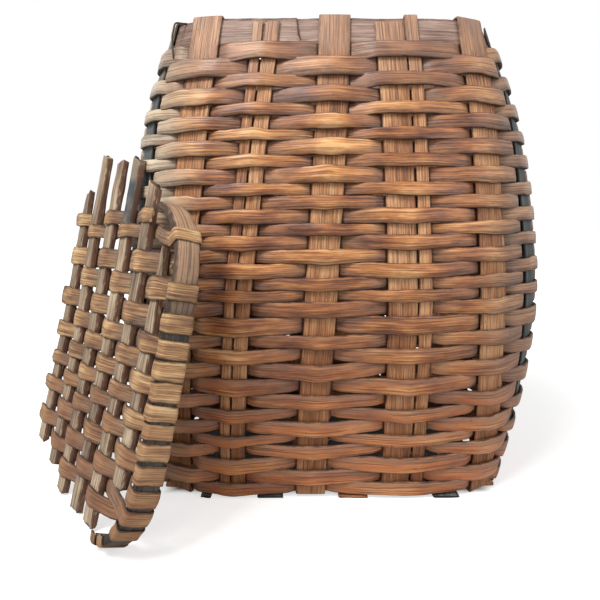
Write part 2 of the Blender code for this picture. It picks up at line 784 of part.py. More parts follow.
def lean_lid():
    """Stands the lid's foot on the floor and leans its inner face on the wall."""
    toward = Vector((math.sin(LID_TURN), math.cos(LID_TURN), 0))
    along = Vector((math.cos(LID_TURN), -math.sin(LID_TURN), 0))
    up = Vector((0, 0, 1))
    rise = up * math.cos(LID_LEAN) + toward * math.sin(LID_LEAN)
    face = up * math.sin(LID_LEAN) - toward * math.cos(LID_LEAN)
    up_lid = rise * math.cos(LID_ROLL) + along * math.sin(LID_ROLL)
    across_lid = along * math.cos(LID_ROLL) - rise * math.sin(LID_ROLL)
    turn = Matrix((across_lid, up_lid, face)).transposed().to_4x4()
    lowest = min((turn @ vertex.co).z for piece in lid.children for vertex in piece.data.vertices)
    place = along * LID_ALONG - toward * (BELLY_HALF_WIDTH + BELLY_HALF_DEPTH)
    place.z = -lowest
    place += toward * (way_to_wall(Matrix.Translation(place) @ turn, toward) - LEAN_CLEAR)
    lid.matrix_world = Matrix.Translation(place) @ turn


for old in list(bpy.data.objects):
    bpy.data.objects.remove(old, do_unlink=True)

collection = bpy.data.collections.new("lidded_splint_basket")
bpy.context.scene.collection.children.link(collection)

weaver_wood = wood("weaver_wood", (0.33, 0.14, 0.06), 0.5)
front_wood = wood("upright_wood", (0.30, 0.15, 0.08), 0.55)
dark_wood = wood("weathered_splint", (0.06, 0.055, 0.05), 0.65)
rim_wood = wood("rim_wood", (0.36, 0.20, 0.14), 0.5)
lid_wood = wood("lid_splint", (0.32, 0.18, 0.10), 0.6)
lid_dark_wood = wood("lid_rib_wood", (0.12, 0.09, 0.07), 0.65)

lid = bpy.data.objects.new("lid", None)
collection.objects.link(lid)

build_uprights()
build_fillers()
build_weavers()
build_rim_hoop()
build_tie_loop()
build_lid_hoop()
build_lid_ribs()
build_lid_weavers()
build_lid_bindings()
lean_lid()
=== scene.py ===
"""The looks of the lidded splint basket: every splint is rebuilt over its plain solid, with
wandering edges, arched crossings, splintered ends and aged wood. Metres, in the frame's own axes.
"""

import math
import random
from functools import partial

import bpy
import numpy as np
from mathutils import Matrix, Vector


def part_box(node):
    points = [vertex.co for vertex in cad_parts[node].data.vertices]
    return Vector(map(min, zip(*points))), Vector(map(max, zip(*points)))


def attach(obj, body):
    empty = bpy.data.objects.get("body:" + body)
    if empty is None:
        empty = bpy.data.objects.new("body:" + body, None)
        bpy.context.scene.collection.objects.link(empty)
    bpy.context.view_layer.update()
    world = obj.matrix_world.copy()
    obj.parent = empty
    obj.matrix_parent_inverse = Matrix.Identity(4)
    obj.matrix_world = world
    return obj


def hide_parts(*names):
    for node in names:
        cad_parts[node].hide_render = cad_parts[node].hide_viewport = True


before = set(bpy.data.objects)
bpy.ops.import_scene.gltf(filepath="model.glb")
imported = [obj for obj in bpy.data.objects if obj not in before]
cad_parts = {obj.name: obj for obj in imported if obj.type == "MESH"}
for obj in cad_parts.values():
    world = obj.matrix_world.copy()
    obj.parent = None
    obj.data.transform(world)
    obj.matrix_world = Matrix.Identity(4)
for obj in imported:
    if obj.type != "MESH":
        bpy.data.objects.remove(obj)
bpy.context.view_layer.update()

MM = 0.001

# Sizes shared with the solids
CLEAR = 0.35 * MM
WEAVE_CLEAR = 0.75 * MM
WIDE = 28 * MM
SPLIT_NARROW = 9 * MM
SPLIT_BROAD = 13 * MM
PAIR_BROAD = 26 * MM
PAIR_NARROW = 11.5 * MM
PAIR_GAP = 1.5 * MM
SPLIT_WIDTH = SPLIT_NARROW + PAIR_GAP + SPLIT_BROAD
PAIR_WIDTH = PAIR_BROAD + PAIR_GAP + PAIR_NARROW
UPRIGHT_THICK = 2.0 * MM
WEAVER_THICK = 2.6 * MM
ROW_GAP = 0.5 * MM
EDGE_MARGIN = 1.5 * MM
FILLER_WIDTH = 25 * MM
NARROW_FILLER_WIDTH = 10 * MM
FILLER_END = 3 * MM
ROW_HEIGHTS = MM * np.array(
    (
        11.5, 14, 16, 13, 10, 14.5, 12, 13.5, 15, 14.5, 13.5,
        12.5, 16, 13.5, 10, 10.5, 12.5, 12, 12, 10, 12.5, 11.5,
        10.5, 14, 10.5, 13, 9, 12.5, 10.5, 14, 11, 15.5, 13.5,
    )
)
WEAVER_COUNT = 11
MIDDLE_REACH = 10 * MM
PAST_MIDDLE = 4 * MM
RIM_HEIGHT = 22 * MM
RIM_THICK = 3.0 * MM
RIM_DROP = 2.5 * MM
RIM_LAP_BEFORE = 8 * MM
RIM_LAP_AFTER = 18 * MM
FOLD_LENGTH = 45 * MM
FOLD_SLACK = 1.0 * MM
CUT_BELOW_RIM = 4 * MM
BASE_THICK = 2 * UPRIGHT_THICK + CLEAR
FIRST_ROW_Z = BASE_THICK + CLEAR
LAST_ROW_Z = FIRST_ROW_Z + sum(ROW_HEIGHTS)
WALL_HEIGHT = LAST_ROW_Z + RIM_DROP + RIM_HEIGHT
RIM_Z = WALL_HEIGHT - RIM_HEIGHT / 2
LOW_LAYER = UPRIGHT_THICK / 2
HIGH_LAYER = BASE_THICK - UPRIGHT_THICK / 2

# Shape of the wall at its base, lower part, belly, shoulder and rim
LEVELS = (0.0, 0.23, 0.47, 0.77, 1.0)
HALF_WIDTHS = np.array((172, 197, 207.5, 186, 150)) * MM
HALF_DEPTHS = np.array((131, 152, 162, 143, 117)) * MM
BELLY_SHIFT = 5 * MM
END_SQUARENESS = 5.0
BELLY_SQUARENESS = 3.0
STATION_COUNT = 14
BASE_HALF_WIDTH = HALF_WIDTHS[0]
BASE_HALF_DEPTH = HALF_DEPTHS[0]

# Lid
LID_HALF_WIDTH = 145 * MM
LID_TOP = 97 * MM
LID_FOOT = 177 * MM
LID_CORNER_WIDTH = 60 * MM
LID_TOP_CORNER = 58 * MM
LID_FOOT_CORNER = 74 * MM
LID_BOW = 4 * MM
LID_END_BEND = 4 * MM
LID_BEND_START = 60 * MM
LID_HOOP_DEPTH = 20 * MM
LID_HOOP_THICK = 7 * MM
LID_RIB_WIDTH = 19 * MM
LID_RIB_THICK = 6.5 * MM
LID_FIRST_RIB = -136 * MM
LID_RIB_REACHES = MM * np.array(
    ((-155, 122), (-165, 159), (-180, 148), (-182, 147), (-181, 119), (-133.8, 64))
)
LID_RIB_SKEWS = (-0.03, 0.03, 0.0, 0.01, -0.03, -0.03)
LID_RIB_PITCH = (LID_HALF_WIDTH - LID_FIRST_RIB) / len(LID_RIB_REACHES)
LID_ROW_PITCHES = MM * np.array((15, 16, 18, 17, 15, 14, 16, 16, 16, 20, 24, 21, 27, 13))
LID_FIRST_ROW = -157 * MM
LID_BROKEN_ROW = 12
LID_ROW_GAP = 0.8 * MM
LID_WEAVER_WIDTH = 18 * MM
LID_WRAP_WIDTH = 15 * MM
LID_BINDING_WIDTH = 10.5 * MM
LID_WEAVER_THICK = 1.2 * MM
LID_FRAY = 5 * MM
LID_FRAY_STEP = 4 * MM
LID_TUCK = 6 * MM
LID_WRAP_SLACK = 0.7 * MM
LID_LOOSE_END = 7 * MM
LID_TURN = math.radians(55.9)
LID_LEAN = math.radians(13.0)
LID_ROLL = math.radians(-2.0)
TIE_RADIUS = 0.8 * MM


# Wood

# Settings that many nodes share
TIMES = {"operation": "MULTIPLY"}
TIMES_PLUS = {"operation": "MULTIPLY_ADD"}
LARGER = {"operation": "MAXIMUM"}
SMOOTH = {"interpolation_type": "SMOOTHSTEP"}

# Where a wood's four tones lie, and what brings the sum of its patterns to the middle of them
TONE_PLACES = (0.05, 0.35, 0.62, 0.95)
TONE_SHIFT = -1.61
WOOD_IOR = 1.5


def linear(code):
    """An sRGB hex value as a linear colour."""
    channels = [int(code[i : i + 2], 16) / 255 for i in (1, 3, 5)]
    bent = [c / 12.92 if c <= 0.04045 else ((c + 0.055) / 1.055) ** 2.4 for c in channels]
    return (*bent, 1.0)


def add_node(tree, kind, inputs=(), **settings):
    """Adds a node with its settings and inputs, and gives its first output.

    The inputs are sockets to link, hex colours or values, by name or else in order.
    """
    node = tree.nodes.new("ShaderNode" + kind)
    for key, value in settings.items():
        setattr(node, key, value)
    if isinstance(inputs, dict):
        pairs = [(node.inputs[key], value) for key, value in inputs.items()]
    else:
        pairs = zip([socket for socket in node.inputs if socket.enabled], inputs)
    for socket, value in pairs:
        if isinstance(value, bpy.types.NodeSocket):
            tree.links.new(value, socket)
        else:
            socket.default_value = linear(value) if isinstance(value, str) else value
    return next((socket for socket in node.outputs if socket.enabled), None)


def patches(add, coordinates, size, detail=3.0, rough=0.55, distortion=0.0):
    """Uneven patches over coordinates in metres, of a real size in metres in each direction."""
    scale = tuple(1 / length for length in size)
    sized = add("Mapping", {"Vector": coordinates, "Scale": scale})
    look = {"Scale": 1.0, "Detail": detail, "Roughness": rough, "Distortion": distortion}
    return add("TexNoise", {"Vector": sized, **look})


def laid_over(add, colour, tint, strength, *factors):
    """A colour with a tint over it, as strong as its factors multiplied."""
    for factor in factors:
        strength = add("Math", (strength, factor), **TIMES)
    return add("Mix", (strength, colour, tint), data_type="RGBA")


def split_wood(
    name, tones, streak, edge, dust, fibre=1.3 * MM, streaks=0.5, edge_span=(1.0, 1.27),
    roughness=0.5, relief=0.25 * MM, under=0.0, tints_and_painted_light=(),
):
    """Hand-split wood, aged indoors and dusty in its corners, satin, with a painted highlight where
    it shows over an upright and painted shade along its edges, on its lower half and where it
    hides.

    tones are four hex colours from dark to light, streak that of the deep fibre lines, edge that
    of both long edges and of the painted shade, and dust what lies where a splint dives under its
    neighbour. fibre is the width of a fibre line, which under about 1 mm wouldn't show, relief its
    depth, streaks the strength of the deep lines and edge_span where the edges begin and end. under
    is how far the lower half of a splint is darkened with painted shade and, near the floor, its
    upper half dusty. The last argument lists (axis, from, to, colour, share) for colours that take
    over along the frame's axes: greying and stains, and on the weavers also painted light.
    """
    made = bpy.data.materials.new(name)
    made.use_nodes = True
    tree = made.node_tree
    add = partial(add_node, tree)
    shader = tree.nodes["Principled BSDF"].inputs
    grain = add("UVMap", uv_map="Grain")
    place = add("SeparateXYZ", (add("UVMap", uv_map="Place"),)).node.outputs
    beside = place["X"]
    exposure = place["Y"]
    world = add("TexCoord").node.outputs["Object"]
    axes = add("SeparateXYZ", (world,)).node.outputs

    # Tone drifts along each splint over about 110 mm, in patches of 30 mm and fibre by fibre
    drift = patches(add, grain, (0.05, 0.11, 1.0), 1.5)
    patch = patches(add, grain, (0.007, 0.030, 1.0), 3.0, 0.6)
    lines = patches(add, grain, (fibre, fibre * 40, 1.0), 5.0, 0.65)
    # Painted highlight: the tone is also lighter where the splint shows, most of all at the middle
    # of each arch over an upright
    painted_highlight = add("MapRange", (exposure, 0.80, 1.0), **SMOOTH)
    tone = TONE_SHIFT
    for part, share in ((drift, 1.3), (patch, 0.9), (lines, 1.7), (exposure, 0.12), (painted_highlight, 0.15)):
        tone = add("Math", (part, share, tone), **TIMES_PLUS)
    colour = add("ValToRGB", (tone,))
    stops = colour.node.color_ramp.elements
    while len(stops) < len(tones):
        stops.new(1.0)
    for stop, position, code in zip(stops, TONE_PLACES, tones):
        stop.position = position
        stop.color = linear(code)

    cloud = patches(add, world, (0.03, 0.03, 0.02), 4.0)
    cloud = add("Math", (cloud, 1.6, 0.1), **TIMES_PLUS)
    for axis, low, high, tint, share in tints_and_painted_light:
        spread = add("MapRange", (axes[axis], low, high), **SMOOTH)
        colour = laid_over(add, colour, tint, spread, cloud, share)

    # The lower half is darkened, a painted shade as if lit from above, and near the floor the upper
    # half is dusty
    ragged = patches(add, grain, (0.003, 0.010, 1.0), 3.0)
    upper = add("Math", (ragged, 0.6, beside), **TIMES_PLUS)
    high_up = add("MapRange", (axes["Z"], 0.06, 0.24), **SMOOTH)
    lower_half_shade = add("MapRange", (upper, 0.85, 0.35), **SMOOTH)
    colour = laid_over(add, colour, edge, lower_half_shade, high_up, under)
    low_down = add("Math", (1.0, high_up), operation="SUBTRACT")
    settled = add("MapRange", (upper, 0.75, 1.1), **SMOOTH)
    colour = laid_over(add, colour, dust, settled, low_down, under)

    # Dust lies in uneven patches where the splint comes out from behind its neighbour
    uneven = patches(add, grain, (0.006, 0.02, 1.0), 4.0)
    dusty = add("MapRange", (exposure, 0.85, 0.5), **SMOOTH)
    for part, low, high in ((exposure, 0.06, 0.25), (uneven, 0.35, 0.6)):
        part = add("MapRange", (part, low, high), **SMOOTH)
        dusty = add("Math", (dusty, part), **TIMES)
    colour = laid_over(add, colour, dust, dusty, 0.5)

    # Deep fibre lines, about one in every few millimetres, and a few small dark knots
    deep = patches(add, grain, (fibre * 0.9, fibre * 70, 1.0), 2.0, 0.5, 0.3)
    deep = add("MapRange", (deep, 0.455, 0.385), **SMOOTH)
    colour = laid_over(add, colour, streak, deep, streaks)
    knots = patches(add, grain, (0.0035, 0.006, 1.0), 1.0)
    knots = add("MapRange", (knots, 0.76, 0.80), **SMOOTH)
    colour = laid_over(add, colour, streak, knots, 0.7)

    # Both long edges are darker, partly the split sides' own colour and partly painted shade in the
    # grooves between rows, and whatever the weave hides is darkened as painted shade
    outer = add("Math", (beside, 2.0, -1.0), **TIMES_PLUS)
    outer = add("Math", (outer,), operation="ABSOLUTE")
    outer = add("Math", (ragged, 0.5, outer), **TIMES_PLUS)
    outer = add("MapRange", (outer, *edge_span), **SMOOTH)
    painted_hidden_shade = add("MapRange", (exposure, 0.22, 0.09), **SMOOTH)
    dark_edges_and_painted_shade = add("Math", (outer, painted_hidden_shade), **LARGER)
    colour = laid_over(add, colour, edge, dark_edges_and_painted_shade, 0.85)
    tree.links.new(colour, shader["Base Color"])

    shine = add("Math", (patch, 0.25, roughness - 0.12), **TIMES_PLUS)
    dull = add("Math", (dark_edges_and_painted_shade, dusty), **LARGER)
    shine = add("Math", (dull, 0.25, shine), **TIMES_PLUS)
    tree.links.new(shine, shader["Roughness"])
    shader["IOR"].default_value = WOOD_IOR

    surface = add("Math", (deep, -0.7, lines), **TIMES_PLUS)
    bump = add("Bump", {"Strength": 1.0, "Distance": relief, "Height": surface})
    tree.links.new(bump, shader["Normal"])
    return made


# Shape of a splint

# Waves of a splint's edges, thickness and faces, and how far the last two vary
LONG_WAVE = 30 * MM
SHORT_WAVE = 7 * MM
SHORT_SHARE = 0.4
THICK_WAVE = 20 * MM
THICK_SHARE = 0.12
FACE_WAVE = 12 * MM
FACE_DEPTH = 0.12 * MM
# How far the points at a splintered end stand in or out, as shares of its jag
SPLINTERS = (-0.25, 1.2)
FEWEST_SECTIONS = 8
# Each splint has dice of its own, and grain from a place of its own across and along, in metres
DICE_STEP = 7919
GRAIN_ACROSS = 0.137
GRAIN_ALONG = 1.73

# Corners of a splint's section: place across its width and through its thickness, from -1 to 1
PROFILE = np.array(
    [
        (-1.0, -0.5), (-1.0, 0.5), (-0.955, 0.9), (-0.87, 1.0), (-0.3, 1.0),
        (0.3, 1.0), (0.87, 1.0), (0.955, 0.9), (1.0, 0.5), (1.0, -0.5),
        (0.94, -0.9), (0.6, -1.0), (0.0, -1.0), (-0.6, -1.0), (-0.94, -0.9),
    ]
)

made_splints = 0


def wander(dice, places, wavelength, amount):
    """A smooth random wander along a splint, one value for each place in metres."""
    knots = int(places[-1] / wavelength) + 3
    values = np.array([dice.uniform(-amount, amount) for _ in range(knots)])
    at = places / wavelength
    i = at.astype(int)
    t = at - i
    t = t * t * (3 - 2 * t)
    return values[i] * (1 - t) + values[i + 1] * t


def blurred(values, reach):
    """Values smoothed along the splint with a bell curve of reach places."""
    span = int(reach * 3) + 1
    bell = np.exp(-0.5 * (np.arange(-span, span + 1) / reach) ** 2)
    bell /= bell.sum()
    first = 2 * values[0] - values[1 : span + 1][::-1]
    last = 2 * values[-1] - values[-span - 1 : -1][::-1]
    padded = np.concatenate([first, values, last])
    return np.stack([np.convolve(column, bell, "valid") for column in padded.T], 1)


def unit(vectors):
    return vectors / np.linalg.norm(vectors, axis=-1, keepdims=True)


def dressed_splint(
    node, keys, material, body, step=2.0 * MM, bend=2.0 * MM, crown=0.35 * MM, cup=0.0,
    ragged=0.5 * MM, jag=2.0 * MM, slants=(0.0, 0.0),
):
    """A splint lofted along its key sections, in the place of a node.

    keys are (centre, across, normal, width, inner, outer, shown). step is the spacing of its
    sections, bend how gently it bends, crown how much its outer face swells, cup how far the whole
    section is cupped, ragged how far its edges wander, jag how far its ends are splintered and
    slants how far each is cut aslant.
    """
    global made_splints
    made_splints += 1
    dice = random.Random(made_splints * DICE_STEP)
    centres = np.array([key[0] for key in keys], float)
    run = np.concatenate([[0.0], np.cumsum(np.linalg.norm(np.diff(centres, axis=0), axis=1))])
    count = max(int(run[-1] / step), FEWEST_SECTIONS) + 1
    places = np.linspace(0, run[-1], count)

    def along(values):
        out = np.stack([np.interp(places, run, column) for column in values.T], 1)
        return blurred(out, bend / (places[1] - places[0]))

    centre, across, normal = (along(np.array([key[i] for key in keys], float)) for i in range(3))
    width, inner, outer, shown = along(np.array([key[3:] for key in keys], float)).T
    ahead = unit(np.gradient(centre, axis=0))
    across = unit(across - ahead * (across * ahead).sum(1, keepdims=True))
    facing = np.sign((np.cross(ahead, across) * normal).sum(1, keepdims=True))
    normal = np.cross(ahead, across) * facing
    low_edge, high_edge = (
        side * width / 2
        + wander(dice, places, LONG_WAVE, ragged)
        + wander(dice, places, SHORT_WAVE, ragged * SHORT_SHARE)
        for side in (-1, 1)
    )
    thicker = 1 + wander(dice, places, THICK_WAVE, THICK_SHARE)

    sides = len(PROFILE)
    a = PROFILE[:, 0][None, :]
    h = PROFILE[:, 1][None, :]
    wide = low_edge[:, None] * (1 - a) / 2 + high_edge[:, None] * (1 + a) / 2
    middle = ((inner + outer) / 2)[:, None]
    half = ((outer - inner) / 2 * thicker)[:, None]
    swell = crown * (1 - a**2) * (h > 0.5) + cup * (0.5 - a**2)
    uneven = np.stack([wander(dice, places, FACE_WAVE, FACE_DEPTH) for _ in range(sides)], 1)
    deep = middle + half * h + swell + uneven * (np.abs(h) > 0.5)
    slip = np.zeros((count, sides))
    for end, inward, slant in ((0, 1, slants[0]), (-1, -1, slants[1])):
        spikes = np.array([dice.uniform(*SPLINTERS) for _ in range(sides)]) * jag * inward
        reach = 2 * (jag + abs(slant))
        fade = np.clip(1 - np.abs(places - places[end]) / reach, 0, 1)
        slip += fade[:, None] * (spikes + PROFILE[:, 0] * slant)[None, :]
    points = (
        centre[:, None, :]
        + across[:, None, :] * wide[:, :, None]
        + normal[:, None, :] * deep[:, :, None]
        + ahead[:, None, :] * slip[:, :, None]
    )
    mesh = splint_mesh(f"{node}_dressed", points, places, shown)
    mesh.materials.append(material)
    made = placed(mesh)
    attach(made, body)
    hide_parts(node)


def placed(data):
    """A new object in the scene, with its data's name."""
    made = bpy.data.objects.new(data.name, data)
    bpy.context.scene.collection.objects.link(made)
    return made


def splint_mesh(name, points, places, shown):
    """The mesh from its rings of points, with one map for the grain and one for the place across it
    and how far it shows, which lay out its dust, painted highlight and painted shade.
    """
    count, sides = points.shape[:2]
    ring = np.arange(sides)
    after = (ring + 1) % sides
    start = (np.arange(count - 1) * sides)[:, None]
    quads = np.stack(
        [start + ring, start + after, start + sides + after, start + sides + ring], -1
    ).reshape(-1, 4)
    caps = [list(range(sides))[::-1], list(range((count - 1) * sides, count * sides))]
    mesh = bpy.data.meshes.new(name)
    mesh.from_pydata(points.reshape(-1, 3).tolist(), [], quads.tolist() + caps)
    middle = points[count // 2]
    girth = np.linalg.norm(np.diff(middle, axis=0, append=middle[:1]), axis=1)
    around = np.concatenate([[0.0], np.cumsum(girth)]) + made_splints * GRAIN_ACROSS
    along = places + made_splints * GRAIN_ALONG
    share = np.append((PROFILE[:, 0] + 1) / 2, 0.0)
    rows = np.arange(count - 1)[:, None]
    maps = np.empty((2, count - 1, sides, 4, 2))
    for corner, (ahead, beside) in enumerate(((0, 0), (0, 1), (1, 1), (1, 0))):
        maps[0, :, :, corner, 0] = around[ring + beside][None, :]
        maps[0, :, :, corner, 1] = along[rows + ahead]
        maps[1, :, :, corner, 0] = share[ring + beside][None, :]
        maps[1, :, :, corner, 1] = shown[rows + ahead]
    for title, values in zip(("Grain", "Place"), maps.reshape(2, -1, 2)):
        flat = np.tile(values[-1], (len(mesh.loops), 1))
        flat[: len(values)] = values
        layer = mesh.uv_layers.new(name=title)
        layer.uv.foreach_set("vector", flat.ravel().astype(np.float32))
    mesh.polygons.foreach_set("use_smooth", np.ones(len(mesh.polygons), bool))
    mesh.update()
    face = mesh.polygons[count // 2 * sides]
    if (Vector(middle.mean(axis=0)) - face.center).dot(face.normal) > 0:
        mesh.flip_normals()
    return mesh


# The wall, as in the solids

def smooth_through(values, share):
    """A smooth curve through one value at each level."""
    top = len(LEVELS) - 1
    slopes = []
    for i in range(top + 1):
        low = max(i - 1, 0)
        high = min(i + 1, top)
        slopes.append((values[high] - values[low]) / (LEVELS[high] - LEVELS[low]))
    share = min(max(share, 0.0), 1.0)
    i = max(k for k in range(top) if LEVELS[k] <= share)
    span = LEVELS[i + 1] - LEVELS[i]
    t = (share - LEVELS[i]) / span
    return (
        values[i] * (2 * t**3 - 3 * t**2 + 1)
        + values[i + 1] * (3 * t**2 - 2 * t**3)
        + slopes[i] * span * (t**3 - 2 * t**2 + t)
        + slopes[i + 1] * span * (t**3 - t**2)
    )


def wall_shape(height):
    """Half width, half depth, squareness and sideways shift of the wall at one height."""
    share = height / WALL_HEIGHT
    squareness = BELLY_SQUARENESS + (END_SQUARENESS - BELLY_SQUARENESS) * (2 * share - 1) ** 2
    shift = BELLY_SHIFT * math.sin(math.pi * share)
    return smooth_through(HALF_WIDTHS, share), smooth_through(HALF_DEPTHS, share), squareness, shift


def between_levels(base, belly, rim, share):
    """A place along one side that is base at the foot, belly at the belly and rim at the top."""
    middle = LEVELS[2]
    at_base = (share - middle) * (share - 1) / middle
    at_belly = share * (share - 1) / (middle * (middle - 1))
    at_rim = share * (share - middle) / (1 - middle)
    return base * at_base + belly * at_belly + rim * at_rim


class Stand:
    """One place round the wall where the weavers pass an upright, or a pair of uprights."""

    def __init__(self, side, places, width):
        self.side = side
        self.places = places
        self.width = width
        self.heights = [WALL_HEIGHT * i / STATION_COUNT for i in range(STATION_COUNT + 1)]
        self.centres, self.rounds = zip(*(self.on_wall(height) for height in self.heights))

    def on_wall(self, height):
        """The point on the wall, and the level direction round the wall, at one height."""
        half_width, half_depth, power, shift = wall_shape(height)
        place = between_levels(*self.places, height / WALL_HEIGHT)
        rest = (1 - abs(place) ** power) ** (1 / power)
        x, y = {
            "front": (place, -rest), "right": (rest, place),
            "back": (place, rest), "left": (-rest, place),
        }[self.side]
        steep_x = math.copysign(abs(x) ** (power - 1), x) / half_width
        steep_y = math.copysign(abs(y) ** (power - 1), y) / half_depth
        centre = Vector((x * half_width + shift, y * half_depth, height))
        return centre, Vector((-steep_y, steep_x, 0)).normalized()

    def frame(self, height):
        """Centre, direction round the wall, outward and upward directions, on the flat facets."""
        i = min(int(height / WALL_HEIGHT * STATION_COUNT), STATION_COUNT - 1)
        low = self.heights[i]
        t = (height - low) / (self.heights[i + 1] - low)
        centre = self.centres[i].lerp(self.centres[i + 1], t)
        round_wall = self.rounds[i].lerp(self.rounds[i + 1], t).normalized()
        up = (self.centres[i + 1] - self.centres[i]).normalized()
        return centre, round_wall, round_wall.cross(up).normalized(), up


# Places are shares of the half width or half depth at the base, the belly and the rim
FRONT = [
    Stand("front", (-0.85, -0.68, -0.74), WIDE),
    Stand("front", (-0.54, -0.417, -0.38), SPLIT_WIDTH),
    Stand("front", (-0.105, -0.067, 0.02), WIDE),
    Stand("front", (0.40, 0.306, 0.38), PAIR_WIDTH),
    Stand("front", (0.87, 0.68, 0.835), WIDE),
]
SIDE = np.array((0.62, 0.65, 0.675))
RIGHT = [Stand("right", SIDE * k, WIDE) for k in (-1, 0, 1)]
BACK = [
    Stand("back", (0.87, 0.68, 0.835), WIDE),
    Stand("back", (0.40, 0.39, 0.47), PAIR_WIDTH),
    Stand("back", (0.15, 0.10, 0.12), WIDE),
    Stand("back", (-0.16, -0.17, -0.20), WIDE),
    Stand("back", (-0.54, -0.44, -0.50), SPLIT_WIDTH),
    Stand("back", (-0.85, -0.68, -0.80), WIDE),
]
LEFT = [Stand("left", SIDE * k, WIDE) for k in (1, 0, -1)]
STANDS = FRONT + RIGHT + BACK + LEFT


# The base

DOWN = Vector((0, 0, -1))
# Strips lie along the base from side to side (0) or from front to back (1). Here are the two ends
# of each upright that runs through under it, and the last strip that each kind crosses
ENDS = (
    list(zip(reversed(LEFT), RIGHT)),
    list(zip(FRONT, (BACK[5], BACK[4], BACK[3], BACK[1], BACK[0]))),
)
LAST_CROSSING = (8, 4)
# The odd upright takes the place of this front-to-back run
ODD_RUN = 5


class BaseRun:
    """A strip or a pair across the base, as a line between its two ends."""

    def __init__(self, start, end, width):
        self.start = start
        self.end = end
        self.width = width

    def at(self, axis, value):
        """The point where this strip's middle crosses a line of fixed x (0) or y (1)."""
        t = (value - self.start[axis]) / (self.end[axis] - self.start[axis])
        return self.start.lerp(self.end, t)


def across_axis(along):
    return Vector((along, 1 - along, 0))


def base_runs():
    """The five side-to-side runs and the nine front-to-back runs, each in order."""
    found = []
    for along, half in enumerate((BASE_HALF_WIDTH, BASE_HALF_DEPTH + FILLER_END)):
        across = across_axis(along)
        reach = across_axis(1 - along) * (half + UPRIGHT_THICK / 2)
        uprights = [BaseRun(a.centres[0], b.centres[0], a.width) for a, b in ENDS[along]]
        runs = uprights[:1]
        for k, (run, after) in enumerate(zip(uprights, uprights[1:])):
            edges = run.start.dot(across) + run.width / 2, after.start.dot(across) - after.width / 2
            middle = across * sum(edges) / 2
            width = NARROW_FILLER_WIDTH if along and k == 0 else FILLER_WIDTH
            runs += [BaseRun(middle - reach, middle + reach, width), after]
        found.append(runs)
    odd_start = found[1][ODD_RUN].start
    found[1][ODD_RUN] = BaseRun(odd_start, BACK[2].centres[0], WIDE)
    return found


def layer_of(place, other, along):
    """Height of a strip's middle where it crosses another: each second one goes over."""
    return HIGH_LAYER if (place + other + along) % 2 else LOW_LAYER


def plain_key(point, across, normal, width, thick=UPRIGHT_THICK, shown=1.0):
    return (point, across, normal, width, -thick / 2, thick / 2, shown)


def base_keys(runs, along, place, offset, width):
    """Key sections of a strip at both edges of each strip that it crosses."""
    run = runs[along][place]
    across = across_axis(along)
    found = []
    for k, other in enumerate(runs[1 - along]):
        near = run.at(along, other.start[along])
        crossing = other.at(1 - along, near[1 - along])
        layer = layer_of(place, k, along)
        for end in (-1, 1):
            value = crossing[along] + end * (other.width / 2 + EDGE_MARGIN)
            if end > 0 and layer == LOW_LAYER and -MIDDLE_REACH < value < 0:
                value = PAST_MIDDLE
            point = run.at(along, value) + across * offset
            point.z = layer
            found.append(plain_key(point, across, DOWN, width))
    return found


def wall_keys(stand, along, offset, width, layer, top):
    """Key sections from the bend at the foot of the wall up to the top of one upright."""
    sign = 1 if stand.rounds[0].dot(across_axis(along)) > 0 else -1

    def place(height, slide=0.0):
        centre, round_wall, outward, _ = stand.frame(height)
        across = round_wall * sign
        return centre + across * offset + outward * slide, across, outward

    point, across, outward = place(layer)
    found = [plain_key(point, across, (outward + DOWN).normalized(), width)]
    for height in stand.heights[1:-1] + [WALL_HEIGHT - CUT_BELOW_RIM]:
        found.append(plain_key(*place(height), width))
    if top == "cut":
        return found
    over_rim = CLEAR + UPRIGHT_THICK / 2
    inside = -(2 * WEAVE_CLEAR + UPRIGHT_THICK + RIM_THICK)
    point, across, outward = place(WALL_HEIGHT)
    up = stand.frame(WALL_HEIGHT)[3]
    point += up * over_rim
    found[-1] = plain_key(point, across, (outward + up).normalized(), width)
    folded = point + outward * inside
    found.append(plain_key(folded, across, (up - outward).normalized(), width))
    point, across, outward = place(WALL_HEIGHT - FOLD_LENGTH, inside - FOLD_SLACK)
    found.append(plain_key(point, across, -outward, width))
    return found


def filler_end(runs, along, place, side):
    """The key section at a filler's front or left end (-1), or at its back or right end (1)."""
    run = runs[along][place]
    point = (run.start if side < 0 else run.end).copy()
    point.z = layer_of(place, 0 if side < 0 else LAST_CROSSING[along], along)
    return [plain_key(point, across_axis(along), DOWN, run.width)]


